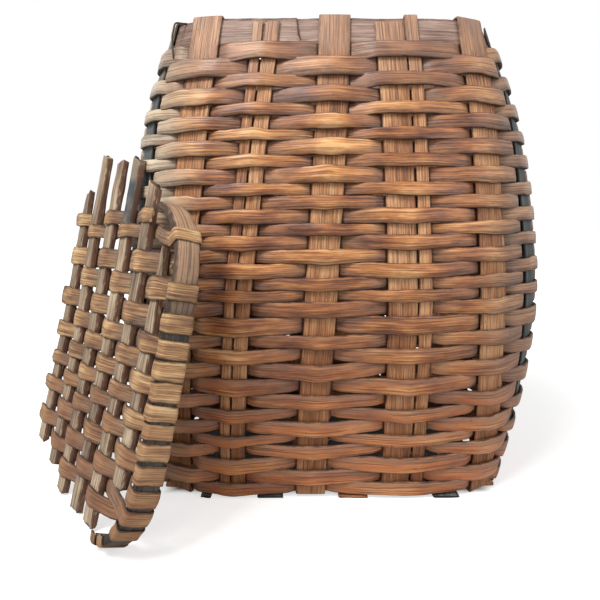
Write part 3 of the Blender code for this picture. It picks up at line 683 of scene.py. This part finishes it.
def dress_uprights():
    runs = base_runs()
    for name, along, place, side, width, *tops in (
        ("upright_left_corner", 1, 0, 0, WIDE, "fold", "cut"),
        ("upright_split_left", 1, 2, -1, SPLIT_NARROW, "cut", "fold"),
        ("upright_split_right", 1, 2, 1, SPLIT_BROAD, "cut", "fold"),
        ("upright_middle", 1, 4, 0, WIDE, "fold", "cut"),
        ("upright_right_broad", 1, 6, -1, PAIR_BROAD, "cut", "cut"),
        ("upright_right_narrow", 1, 6, 1, PAIR_NARROW, "fold", "fold"),
        ("upright_right_corner", 1, 8, 0, WIDE, "fold", "fold"),
        ("side_upright_front", 0, 0, 0, WIDE, "fold", "cut"),
        ("side_upright_middle", 0, 2, 0, WIDE, "cut", "fold"),
        ("side_upright_back", 0, 4, 0, WIDE, "fold", "cut"),
    ):
        stands = ENDS[along][place // 2]
        offset = side * (stands[0].width - width) / 2
        crossed = (0, LAST_CROSSING[along])
        down, up = (
            wall_keys(stand, along, offset, width, layer_of(place, other, along), top)
            for stand, other, top in zip(stands, crossed, tops)
        )
        flat = base_keys(runs, along, place, offset, width)
        dress_upright(name, down[::-1] + flat + up, upright_wood if along else charcoal_wood)
    start = filler_end(runs, 1, ODD_RUN, -1)
    flat = base_keys(runs, 1, ODD_RUN, 0.0, WIDE)
    up = wall_keys(BACK[2], 1, 0.0, WIDE, layer_of(ODD_RUN, LAST_CROSSING[1], 1), "cut")
    dress_upright("odd_back_upright", start + flat + up, upright_wood)


def dress_upright(node, keys, material):
    finish = {"step": 1.6 * MM, "bend": 1.1 * MM, "crown": 0.2 * MM, "ragged": 0.35 * MM}
    dressed_splint(node, keys, material, "basket", **finish)


def dress_fillers():
    runs = base_runs()
    for name, along, place in (
        ("base_filler_left", 1, 1),
        ("base_filler_middle", 1, 3),
        ("base_filler_right", 1, 7),
        ("cross_filler_front", 0, 1),
        ("cross_filler_back", 0, 3),
    ):
        start, stop = (filler_end(runs, along, place, side) for side in (-1, 1))
        flat = base_keys(runs, along, place, 0.0, runs[along][place].width)
        dress_upright(name, start + flat + stop, charcoal_wood)


# The weavers

# The spiral starts on this step and is as many groups of steps long as fit into its rounds less
# some to spare. Even steps hide behind an upright, odd ones show over one
FIRST_STEP = -12
STEP_GROUP = 4
SPARE_STEPS = 6
STEP_SEED = 31
END_SEED = 7
# A weaver stands off the middle of an upright, is wider where it shows and narrower where it hides
WEAVER_ARCH = 1.3 * MM
SHOWN_SWELL = 2.2 * MM
HIDDEN_SWELL = 0.5 * MM
SWELL_WANDER = 0.9 * MM
CROSSING_SWELL = 1.0 * MM
TOP_CROSSING_SWELL = 3.0 * MM
TOP_ROWS = (0.36, 0.41)
# Its crossings wander up and down at their middles and at their edges
MIDDLE_WANDER = 0.8 * MM
EDGE_WANDER = 0.5 * MM
# It dives only close to the upright that hides it, and near the floor it is pinched there, by
# less where the dive begins
DIVE_LENGTH = 7 * MM
DIVE_STANDOFF = -0.5 * MM
HIDDEN_DEPTH = 0.8 * MM
LOW_ROWS = (0.26, 0.12)
LOW_PINCH = 2.6 * MM
DIVE_PINCH = 0.5
# The first two rows are beaten down tight, and the last rows close up where they hide
FIRST_ROWS = 20 * MM
FIRST_ROWS_SWELL = 2.0 * MM
LAST_ROWS = 375 * MM
LAST_ROWS_SWELL = 2.5 * MM
# Where they cross over an upright the low rows droop and the high rows ride up. Their edges follow
# in part, and where they hide they go a little the other way
LEVEL_ROWS = 270 * MM
LAST_BOWED = 385 * MM
DROOP = 0.016
RISE = 0.009
EDGE_BOW = 0.65
HIDDEN_BOW = -0.25
# Where a weaver turns the corner beyond an upright it buckles and fans out
CORNER_SWELL = 2.2 * MM
CORNER_EDGES = {(FRONT[0], -1), (FRONT[4], 1), (BACK[0], -1), (BACK[5], 1)}
# How exposed it is at the middle and at the edges of an upright that it crosses over (1) or hides
# behind (-1), and where it dives
WEAVER_SHOWN = {1: (1.0, 0.85), -1: (0.0, 0.05)}
DIVE_SHOWN = 0.6


def row_edge(turn):
    """Height of the row's lower edge after so many turns round the wall."""
    at_front = turn - 2 / len(STANDS)
    if at_front <= 0:
        return FIRST_ROW_Z
    whole = int(at_front)
    if whole >= len(ROW_HEIGHTS):
        return LAST_ROW_Z
    return FIRST_ROW_Z + sum(ROW_HEIGHTS[:whole]) + ROW_HEIGHTS[whole] * (at_front - whole)


def share_of(value, span):
    """How far a value has come from one end of a span to the other, from 0 to 1."""
    return min(max((value - span[0]) / (span[1] - span[0]), 0), 1)


def weaver_key(step, end, lap, diving=False):
    """A weaver's section at the near edge (-1), the middle (0) or the far edge (1) of an upright.

    lap is 1 where it lies outside the next weaver's start, and -1 where it lies inside the last
    one's end. diving moves the section to where it starts to dive behind that edge.
    """
    dice = random.Random(step * STEP_SEED + end * END_SEED)
    low = row_edge(step / len(STANDS))
    high = row_edge(step / len(STANDS) + 1)
    stand = STANDS[step % len(STANDS)]
    centre, round_wall, outward, up = stand.frame((low + high) / 2)
    side = 1 if step % 2 else -1
    out = side * (UPRIGHT_THICK / 2 + WEAVE_CLEAR + WEAVER_THICK / 2)
    reach = stand.width / 2 + EDGE_MARGIN
    if end == 0:
        out += side * WEAVER_ARCH
    elif diving:
        out = DIVE_STANDOFF
        reach += DIVE_LENGTH
    elif side < 0:
        out -= HIDDEN_DEPTH
    point = centre + round_wall * end * reach + outward * out
    point += up * dice.uniform(-1, 1) * (EDGE_WANDER if end else MIDDLE_WANDER)
    if FIRST_ROWS < low < LAST_BOWED and not diving:
        bow = (low - LEVEL_ROWS) * (DROOP if low < LEVEL_ROWS else RISE)
        point += up * bow * (HIDDEN_BOW if side < 0 else EDGE_BOW if end else 1.0)
    if end == 0:
        swell = SHOWN_SWELL if side > 0 else HIDDEN_SWELL
        swell += dice.uniform(-SWELL_WANDER, SWELL_WANDER)
    else:
        swell = CROSSING_SWELL + (TOP_CROSSING_SWELL - CROSSING_SWELL) * share_of(low, TOP_ROWS)
        if side < 0 and stand in FRONT:
            swell -= LOW_PINCH * share_of(low, LOW_ROWS) * (DIVE_PINCH if diving else 1.0)
    if (stand, end) in CORNER_EDGES and side > 0:
        swell += CORNER_SWELL
    if low < FIRST_ROWS:
        swell += FIRST_ROWS_SWELL
    if low > LAST_ROWS and side < 0:
        swell += LAST_ROWS_SWELL
    width = high - low - ROW_GAP + swell
    inner = CLEAR / 2 if lap == 1 else -WEAVER_THICK / 2
    outer = -CLEAR / 2 if lap == -1 else WEAVER_THICK / 2
    shown = DIVE_SHOWN if diving else WEAVER_SHOWN[side][abs(end)]
    return (point, up, outward, width, inner, outer, shown)


def dress_weavers():
    rounds = (len(ROW_HEIGHTS) + 1) * len(STANDS)
    last = FIRST_STEP + (rounds - SPARE_STEPS) // STEP_GROUP * STEP_GROUP
    steps = (last - FIRST_STEP) // WEAVER_COUNT
    for number in range(WEAVER_COUNT):
        start = FIRST_STEP + number * steps
        stop = last if number == WEAVER_COUNT - 1 else start + steps
        keys = []
        for step in range(start, stop + 1):
            lap = {start: -1, stop: 1}.get(step, 0) if FIRST_STEP < step < last else 0
            if step % 2 == 0 and lap != -1:
                keys.append(weaver_key(step, -1, lap, True))
            keys += [weaver_key(step, end, lap) for end in (-1, 0, 1)]
            if step % 2 == 0 and lap != 1:
                keys.append(weaver_key(step, 1, lap, True))
        finish = {"step": 2.4 * MM, "bend": 2.8 * MM, "crown": 0.4 * MM, "ragged": 0.6 * MM}
        dressed_splint(f"weaver_{number + 1:02d}", keys, weaver_wood, "basket", **finish)


# The rim

# How far the rim hoop sags behind the top row, and how exposed the hoop and the tie are
RIM_SAG = 3 * MM
RIM_SHOWN = 0.9
TIE_SHOWN = 0.8
# How far the tie loop stands off the wall at its slackest
TIE_BULGE = 6 * MM


def hoop_key(step, end, lap=0, reach=0.0):
    """The rim hoop's section at one edge of an upright, or reach beyond it."""
    stand = STANDS[step % len(STANDS)]
    centre, round_wall, outward, up = stand.frame(RIM_Z)
    away = UPRIGHT_THICK / 2 + WEAVE_CLEAR + RIM_THICK / 2
    point = centre + round_wall * end * (stand.width / 2 + reach) - outward * away
    point -= up * RIM_SAG / 2
    inner = CLEAR / 2 if lap == 1 else -RIM_THICK / 2
    outer = -CLEAR / 2 if lap == -1 else RIM_THICK / 2
    return (point, up, outward, RIM_HEIGHT + RIM_SAG, inner, outer, RIM_SHOWN)


def dress_rim_hoop():
    last = len(STANDS) + 1
    keys = []
    for step in range(1, last + 1):
        lap = {1: -1, last: 1}.get(step, 0)
        for end, reach in ((-1, RIM_LAP_BEFORE), (1, RIM_LAP_AFTER)):
            keys.append(hoop_key(step, end, lap, reach if lap else 0.0))
    finish = {"step": 3.0 * MM, "bend": 5.0 * MM, "slants": (0.0, -2.0 * MM)}
    dressed_splint("rim_hoop", keys, rim_wood, "basket", **finish)


def dress_tie_loop():
    """A loop of thin split root over the rim at the left front corner."""
    corners = [hoop_key(0, -1)[0], hoop_key(len(STANDS) - 1, 1)[0]]
    middle = (corners[0] + corners[1]) / 2
    sides = FRONT[0].frame(RIM_Z), LEFT[2].frame(RIM_Z)
    outward = (sides[0][2] + sides[1][2]).normalized()
    upward = (sides[0][3] + sides[1][3]).normalized()
    along = upward.cross(outward)
    face = RIM_THICK / 2 + TIE_RADIUS + WEAVE_CLEAR
    over = RIM_HEIGHT / 2 + TIE_RADIUS + WEAVE_CLEAR
    weave = face + UPRIGHT_THICK + WEAVER_THICK
    # Out of the wall and up from the rim's middle, from its inside over its top and down outside
    route = (
        (-face, -RIM_HEIGHT * 0.25),
        (-face, RIM_HEIGHT * 0.4),
        (-face * 0.7, over * 0.95),
        (0.0, over + CLEAR),
        (face, over * 0.85),
        (weave + TIE_BULGE, RIM_HEIGHT * 0.3),
        (weave + TIE_BULGE, -RIM_HEIGHT * 0.3),
        (weave + TIE_BULGE / 3, -RIM_HEIGHT * 0.85),
        (weave, -RIM_HEIGHT * 1.1),
    )
    keys = []
    for out, up in route:
        lean = Vector((out, up + RIM_HEIGHT * 0.3)).normalized()
        normal = outward * lean.x + upward * lean.y
        point = middle + outward * out + upward * up
        keys.append(plain_key(point, along, normal, 2 * TIE_RADIUS, 2 * TIE_RADIUS, TIE_SHOWN))
    finish = {"step": 0.8 * MM, "crown": 0.0, "ragged": 0.1 * MM, "jag": 0.3 * MM}
    dressed_splint("tie_loop", keys, charcoal_wood, "basket", **finish)


# The lid

# How many key sections a rib has, and how far round a corner of the hoop each one of its own is
RIB_SECTIONS = 10
CORNER_TURNS = np.radians(range(0, 95, 5))
HOOP_SHOWN = 0.8
# How far each rib's top is cut aslant, how wide it still is there, and how far down it tapers
RIB_SLANTS = np.array((3, -3, 1, -3, -4, 2)) * MM
RIB_TIP_WIDTHS = (0.5, 0.75, 0.9, 0.95, 0.95, 0.2)
RIB_TAPERS = (0.15, 0.15, 0.15, 0.15, 0.15, 0.4)
RIB_SWELL = 1.8 * MM
RIB_JAG = 2.5 * MM
PAINTED_RIB = 3
# A lid weaver arches this far over the middle of a rib and is this much wider there, and at the
# rib's edges it is wider by a share of that
LID_ARCH = 1.2 * MM
LID_SWELL = 3.0 * MM
EDGE_SWELL_SHARE = 0.3
# How exposed it is at the edges and at the middle of a rib that it crosses in front of (1) or
# behind (-1), and at a loose end
LID_SHOWN = {1: (0.85, 1.0), -1: (0.15, 0.1)}
LOOSE_SHOWN = 0.9
LID_JAG = 4 * MM
BROKEN_JAG = 9 * MM
BINDING_JAG = 2 * MM
# Where the bindings go round the hoop, in degrees below its widest
BINDING_ANGLES = (73, 87.5)
# A row near the top meets the hoop's corner at this share of the angle that its height gives
TOP_ANCHOR = 0.8


def free_share(q):
    """How far along the ribs' free ends a place up the lid is."""
    return max(q - LID_BEND_START, 0.0) / (LID_FOOT - LID_BEND_START)


def lid_slope(q):
    bend = 2 * LID_END_BEND * free_share(q) / (LID_FOOT - LID_BEND_START)
    return 2 * LID_BOW * q / LID_FOOT**2 - bend


def lid_face(q):
    return Vector((0, -lid_slope(q), 1)).normalized()


def lid_direction(flat, q):
    return Vector((flat.x, flat.y, flat.y * lid_slope(q))).normalized()


def lid_point(p, q, height=0.0):
    """A point of the lid: p across it, q up it and height out of its bowed face."""
    rise = -LID_BOW * (1 - (q / LID_FOOT) ** 2) - LID_END_BEND * free_share(q) ** 2
    return Vector((p, q, rise)) + lid_face(q) * height


def lid_axes():
    """The lid's own axes as it leans: across it, up it and out of its face."""
    toward = Vector((math.sin(LID_TURN), math.cos(LID_TURN), 0))
    along = Vector((math.cos(LID_TURN), -math.sin(LID_TURN), 0))
    up = Vector((0, 0, 1))
    rise = up * math.cos(LID_LEAN) + toward * math.sin(LID_LEAN)
    face = up * math.sin(LID_LEAN) - toward * math.cos(LID_LEAN)
    up_lid = rise * math.cos(LID_ROLL) + along * math.sin(LID_ROLL)
    across_lid = along * math.cos(LID_ROLL) - rise * math.sin(LID_ROLL)
    return np.array([across_lid, up_lid, face])


def rib_place(number, q):
    """Where a rib's middle runs across the lid at q up it: some ribs are skewed."""
    return LID_FIRST_RIB + LID_RIB_PITCH * number - LID_RIB_SKEWS[number] * q


def rib_frame(number, q):
    """A rib's middle, the direction across it and the way out of the face, at q up the lid."""
    point = lid_point(rib_place(number, q), q)
    return point, lid_direction(Vector((1, LID_RIB_SKEWS[number], 0)), q), lid_face(q)


def lid_place(axes):
    """Where the lid stands: the mean way from its ribs' boxes here to those in the frame."""
    offsets = []
    for number, (low, high) in enumerate(LID_RIB_REACHES):
        corners = []
        for q in np.linspace(low, high, RIB_SECTIONS):
            point, across, face = rib_frame(number, q)
            for side in (-0.5, 0.5):
                beside = point + across * side * LID_RIB_WIDTH
                corners += [beside + face * deep * LID_RIB_THICK for deep in (-0.5, 0.5)]
        corners = np.array(corners) @ axes
        box = np.array(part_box(f"lid_rib_{number + 1}"))
        offsets.append((box - np.array([corners.min(0), corners.max(0)])).mean(0))
    return np.mean(offsets, axis=0)


LID_AXES = lid_axes()
LID_PLACE = lid_place(LID_AXES)


def on_lid(key):
    """A key section of the lid, turned and placed as the lid leans."""
    point, across, normal = (np.array(vector) @ LID_AXES for vector in key[:3])
    return (point + LID_PLACE, across, normal, *key[3:])


def hoop_corner(angle, top):
    """A point on the hoop's long corner, and its outward direction in the lid's plane."""
    length = LID_TOP_CORNER if top else LID_FOOT_CORNER
    middle = LID_TOP - length if top else length - LID_FOOT
    across = LID_HALF_WIDTH - LID_CORNER_WIDTH + LID_CORNER_WIDTH * math.cos(angle)
    point = Vector((across, middle + length * math.sin(angle), 0))
    out = Vector((math.cos(angle) / LID_CORNER_WIDTH, math.sin(angle) / length, 0))
    return point, out.normalized()


def dress_lid_hoop():
    places = [hoop_corner(turn, True) for turn in CORNER_TURNS[::-1]]
    low = LID_FOOT_CORNER - LID_FOOT
    high = LID_TOP - LID_TOP_CORNER
    for share in (0.25, 0.5, 0.75):
        middle = Vector((LID_HALF_WIDTH, high + (low - high) * share, 0))
        places.append((middle, Vector((1, 0, 0))))
    places += [hoop_corner(-turn, False) for turn in CORNER_TURNS]
    keys = []
    for point, out in places:
        centre = lid_point(point.x, point.y)
        across = lid_face(point.y)
        normal = lid_direction(out, point.y)
        size = (LID_HOOP_DEPTH, LID_HOOP_THICK)
        keys.append(on_lid(plain_key(centre, across, normal, *size, HOOP_SHOWN)))
    finish = {"bend": 3.0 * MM, "crown": 0.6 * MM, "jag": 5.0 * MM, "slants": (8 * MM, 0.0)}
    dressed_splint("lid_hoop", keys, lid_hoop_wood, "lid", **finish)


def dress_lid_ribs():
    for number, (low, high) in enumerate(LID_RIB_REACHES):
        taper = RIB_TAPERS[number]
        keys = []
        for q in np.linspace(low, high, RIB_SECTIONS):
            share = (q - low) / (high - low)
            narrow = 1 - (1 - RIB_TIP_WIDTHS[number]) * max(share - 1 + taper, 0) / taper
            width = (LID_RIB_WIDTH + RIB_SWELL) * narrow
            keys.append(on_lid(plain_key(*rib_frame(number, q), width, LID_RIB_THICK)))
        wood = painted_rib_wood if number == PAINTED_RIB else lid_rib_wood
        finish = {"crown": 0.4 * MM, "ragged": 0.8 * MM, "jag": RIB_JAG}
        slants = (0.0, RIB_SLANTS[number])
        dressed_splint(f"lid_rib_{number + 1}", keys, wood, "lid", slants=slants, **finish)


def wrap_keys(anchor, out, side, width):
    """Key sections of a lid weaver that goes once round the hoop and tucks in behind it."""
    across = lid_direction(Vector((-out.y, out.x, 0)), anchor.y)
    away = lid_direction(out, anchor.y)
    face = lid_face(anchor.y)
    beside = LID_HOOP_THICK / 2 + CLEAR + LID_WEAVER_THICK / 2
    beyond = LID_HOOP_DEPTH / 2 + CLEAR + LID_WEAVER_THICK / 2
    within = -beside - LID_WRAP_SLACK
    route = (
        (within, beyond, (0, 1), (0, 1)),
        (beside, beyond, (0, 1), (1, 0)),
        (beside, -beyond, (1, 0), (0, -1)),
        (within, -beyond, (0, -1), (-1, 0)),
        (within, LID_TUCK - beyond, (-1, 0), (-1, 0)),
    )
    found = []
    for outward, height, first, second in route:
        point = lid_point(anchor.x, anchor.y, height * side) + away * outward
        one = (away * first[0] + face * first[1] * side) * side
        two = (away * second[0] + face * second[1] * side) * side
        normal = (one + two).normalized()
        found.append(plain_key(point, across, normal, width, LID_WEAVER_THICK))
    return found


def hoop_anchor(height):
    """Where a row meets the hoop: a row near a corner meets it on the corner."""
    foot = LID_FOOT - LID_FOOT_CORNER
    if height < -foot:
        return hoop_corner(-math.asin((-height - foot) / LID_FOOT_CORNER), False)
    top = LID_TOP - LID_TOP_CORNER
    if height > top:
        return hoop_corner(math.asin((height - top) / LID_TOP_CORNER) * TOP_ANCHOR, True)
    return Vector((LID_HALF_WIDTH, height, 0)), Vector((1, 0, 0))


def lid_row(row):
    """Height of one row up the lid, and the width that its neighbours leave it."""
    height = LID_FIRST_ROW + sum(LID_ROW_PITCHES[:row])
    beside = LID_ROW_PITCHES[max(row - 1, 0) : row + 1]
    return height, min(LID_WEAVER_WIDTH, min(beside) - LID_ROW_GAP)


def dress_lid_weavers():
    away = LID_RIB_THICK / 2 + CLEAR + LID_WEAVER_THICK / 2
    for row in range(len(LID_ROW_PITCHES) + 1):
        height, width = lid_row(row)
        crossed = [
            number
            for number, (low, high) in enumerate(LID_RIB_REACHES)
            if low < height - width / 2 and height + width / 2 < high
        ]
        across = lid_direction(Vector((0, 1, 0)), height)
        face = lid_face(height)
        keys = []
        for number in crossed:
            side = -1 if (number + row) % 2 else 1
            edge = LID_RIB_WIDTH / 2 + EDGE_MARGIN + LID_RIB_SKEWS[number] * width / 2
            middle = rib_place(number, height)
            start = middle - edge
            if number == crossed[0]:
                start -= LID_FRAY + LID_FRAY_STEP * (row * 2 % 3)
            for place, over in ((start, 0), (middle, 1), (middle + edge, 0)):
                point = lid_point(place, height, (away + LID_ARCH * over) * side)
                swell = LID_SWELL * (1.0 if over else EDGE_SWELL_SHARE)
                shown = LID_SHOWN[side][over]
                keys.append(plain_key(point, across, face, width + swell, LID_WEAVER_THICK, shown))
        if height + width / 2 < LID_TOP and row != LID_BROKEN_ROW:
            anchor, out = hoop_anchor(height)
            keys += wrap_keys(anchor, out, -side, min(width, LID_WRAP_WIDTH))
        else:
            point = lid_point(middle + edge + LID_LOOSE_END, height, away * side)
            keys.append(plain_key(point, across, face, width, LID_WEAVER_THICK, LOOSE_SHOWN))
        jag = BROKEN_JAG if row == LID_BROKEN_ROW else LID_JAG
        dress_lid_splint(f"lid_weaver_{row + 1:02d}", keys, jag)


def dress_lid_splint(node, keys, jag):
    keys = [on_lid(key) for key in keys]
    finish = {"step": 1.4 * MM, "bend": 1.8 * MM, "crown": 0.3 * MM, "ragged": 0.7 * MM}
    dressed_splint(node, keys, lid_splint_wood, "lid", cup=0.5 * MM, jag=jag, **finish)


def dress_lid_bindings():
    for number, angle in enumerate(BINDING_ANGLES):
        anchor, out = hoop_corner(math.radians(-angle), False)
        keys = wrap_keys(anchor, out, 1, LID_BINDING_WIDTH)
        dress_lid_splint(f"lid_binding_{number + 1}", keys, BINDING_JAG)


# Split ash, aged indoors to a warm brown, satin and red brown along its edges, with a painted
# highlight on the crowns of its arches and painted shade at its edges, on its lower halves and
# where it hides
weaver_wood = split_wood(
    "aged_split_ash",
    ("#451F12", "#8D5330", "#BD7D46", "#E8B277"),
    "#2E160C", "#2A140B", "#826A5A",
    edge_span=(1.08, 1.30),
    roughness=0.38,
    under=0.55,
    tints_and_painted_light=[
        # The left flank is lighter: painted light, as if lit from the left
        ("X", -0.105, -0.170, "#DACAAE", 0.9),
        ("X", 0.120, 0.165, "#93806F", 0.55),
        ("Z", 0.34, 0.42, "#987966", 0.45),
        # The lowest rows are a redder orange, and lighter as painted light where the lamp reaches
        # them less
        ("Z", 0.20, 0.02, "#C47244", 0.55),
    ],
)
# The uprights are the same wood with straight grain: fine dark and cream lines run up them
upright_wood = split_wood(
    "aged_ash_uprights",
    ("#472617", "#845231", "#AF764A", "#D8A678"),
    "#2A160D", "#2A150C", "#856A5C",
    fibre=1.0 * MM,
    edge_span=(1.05, 1.45),
    roughness=0.55,
    relief=0.3 * MM,
    tints_and_painted_light=[("Z", 0.36, 0.44, "#A88E7C", 0.5), ("Z", 0.22, 0.04, "#8C5633", 0.5)],
)
# The lid's hoop is nearly black below, and brown where the lid was handled at its top
lid_hoop_wood = split_wood(
    "stained_lid_hoop",
    ("#1F1B19", "#3A332E", "#5A4E44", "#857260"),
    "#14100E", "#1C1512", "#6A5E54",
    fibre=1.8 * MM,
    roughness=0.65,
    relief=0.35 * MM,
    tints_and_painted_light=[("Z", 0.18, 0.23, "#B38D6E", 0.9)],
)
# Splints that have weathered to charcoal grey, matt and dry
charcoal_wood = split_wood(
    "weathered_charcoal_splint",
    ("#202324", "#3C4244", "#585C5A", "#7E7E78"),
    "#131414", "#151515", "#77726C",
    fibre=1.5 * MM,
    roughness=0.7,
    relief=0.35 * MM,
    tints_and_painted_light=[("Z", 0.38, 0.42, "#A08C7A", 1.0)],
)
# The rim hoop is ash gone pinkish grey in the light, with plain straight grain
rim_wood = split_wood(
    "aged_rim_ash",
    ("#583F35", "#7F6456", "#987D6F", "#B79E90"),
    "#5A3E32", "#4A3228", "#A89488",
    fibre=1.6 * MM,
    streaks=0.35,
    roughness=0.6,
)
# The lid's weavers are dusty and bleached over the same brown
lid_splint_wood = split_wood(
    "bleached_lid_splint",
    ("#452E1E", "#845E40", "#B1875B", "#DDBA88"),
    "#2A1C14", "#291A12", "#8C7868",
    roughness=0.62,
    relief=0.3 * MM,
    tints_and_painted_light=[("Z", 0.19, 0.04, "#85553A", 0.6)],
)
# The lid's ribs have greyed, dry faces and red brown split sides
greyed_rib = {
    "tones": ("#3E3026", "#77624F", "#A18A71", "#CBB598"),
    "streak": "#1E1611",
    "edge": "#5E3A2A",
    "dust": "#7C6E62",
    "fibre": 1.6 * MM,
    "streaks": 0.6,
    "edge_span": (1.12, 1.24),
    "roughness": 0.7,
    "relief": 0.4 * MM,
}
lid_rib_wood = split_wood("weathered_lid_rib", **greyed_rib)
# One rib keeps a patch of blue-grey paint at its top
painted_rib_wood = split_wood(
    "painted_lid_rib",
    tints_and_painted_light=[("Z", 0.24, 0.27, "#3A4144", 1.0), ("Z", 0.296, 0.306, "#95846E", 1.0)],
    **greyed_rib,
)

dress_uprights()
dress_fillers()
dress_weavers()
dress_rim_hoop()
dress_tie_loop()
dress_lid_hoop()
dress_lid_ribs()
dress_lid_weavers()
dress_lid_bindings()


# Floor, light and camera

FLOOR_SIZE = 12
FLOOR_DROP = 0.2 * MM
# For the camera the floor lifts from LEAST_LIFT by MORE_LIFT between these distances. Within this
# share of the base it doesn't lift, so that it shows dark through the gaps of the weave
LEAST_LIFT = 0.62
MORE_LIFT = 0.4
LIFT_SPAN = (0.35, 1.1)
BASE_SPAN = (0.84, 0.96)
WORLD_LIGHT = 0.38
# Each lamp's name, place and width in metres, and power in watts. All of them aim at one point
LAMPS = (("key", (-0.9, -1.3, 2.0), 0.9, 50), ("fill", (1.5, -1.5, 1.0), 1.4, 14))
LAMP_AIM = Vector((0, 0, 0.2))

EYE = (-28 * MM, -725 * MM, 273 * MM)
FOCAL_PIXELS = 650
FRAME_PIXELS = 600
HORIZON_RISE_PIXELS = 90
SENSOR = 36.0
NEAR_CLIP = 10 * MM


def pale_surface():
    """Matt white paper: it lifts to white for the camera, and still takes the basket's shadow."""
    made = bpy.data.materials.new("matt_white_paper")
    made.use_nodes = True
    tree = made.node_tree
    tree.nodes.clear()
    add = partial(add_node, tree)
    spot = add("TexCoord").node.outputs["Object"]
    far = add("VectorMath", (spot,), operation="LENGTH").node.outputs["Value"]
    lift = add("MapRange", (far, *LIFT_SPAN), **SMOOTH)
    lift = add("Math", (lift, MORE_LIFT, LEAST_LIFT), **TIMES_PLUS)
    axes = add("SeparateXYZ", (spot,)).node.outputs
    shares = []
    for axis, half in (("X", BASE_HALF_WIDTH), ("Y", BASE_HALF_DEPTH)):
        share = add("Math", (axes[axis],), operation="ABSOLUTE")
        shares.append(add("Math", (share, half), operation="DIVIDE"))
    share = add("Math", shares, **LARGER)
    open_floor = add("MapRange", (share, *BASE_SPAN), **SMOOTH)
    lift = add("Math", (lift, open_floor), **TIMES)
    seen = add("LightPath").node.outputs["Is Camera Ray"]
    lift = add("Math", (seen, lift), **TIMES)
    paper = add("BsdfDiffuse", {"Color": "#D4D3D1"})
    glow = add("Emission", {"Strength": lift})
    add("OutputMaterial", {"Surface": add("AddShader", (paper, glow))})
    return made


def build_stage():
    bpy.ops.mesh.primitive_plane_add(size=FLOOR_SIZE, location=(0, 0, -FLOOR_DROP))
    floor = bpy.context.object
    floor.name = "floor"
    floor.data.materials.append(pale_surface())


def build_world():
    """Soft studio light all round, which the camera sees as plain white."""
    world = bpy.data.worlds.new("studio")
    bpy.context.scene.world = world
    world.use_nodes = True
    tree = world.node_tree
    tree.nodes.clear()
    add = partial(add_node, tree)
    light = add("Background", {"Color": "#F7F8FA", "Strength": WORLD_LIGHT})
    white = add("Background", {"Color": "#FFFFFF", "Strength": 1.0})
    ray = add("LightPath").node.outputs
    seen = ray["Is Camera Ray"]
    for kind in ("Is Glossy Ray", "Is Transmission Ray"):
        seen = add("Math", (seen, ray[kind]), **LARGER)
    add("OutputWorld", {"Surface": add("MixShader", (seen, light, white))})


def build_lamps():
    for name, place, size, power in LAMPS:
        data = bpy.data.lights.new(name, "AREA")
        data.shape = "SQUARE"
        data.size = size
        data.energy = power
        lamp = placed(data)
        lamp.location = place
        lamp.rotation_euler = (LAMP_AIM - Vector(place)).to_track_quat("-Z", "Y").to_euler()


def build_camera():
    data = bpy.data.cameras.new("camera")
    data.sensor_width = SENSOR
    data.lens = SENSOR * FOCAL_PIXELS / FRAME_PIXELS
    data.clip_start = NEAR_CLIP
    camera = placed(data)
    camera.location = EYE
    camera.rotation_euler = (math.pi / 2 - math.atan(HORIZON_RISE_PIXELS / FOCAL_PIXELS), 0, 0)
    bpy.context.scene.camera = camera


build_stage()
build_world()
build_lamps()
build_camera()
bpy.context.scene.view_settings.view_transform = "Standard"
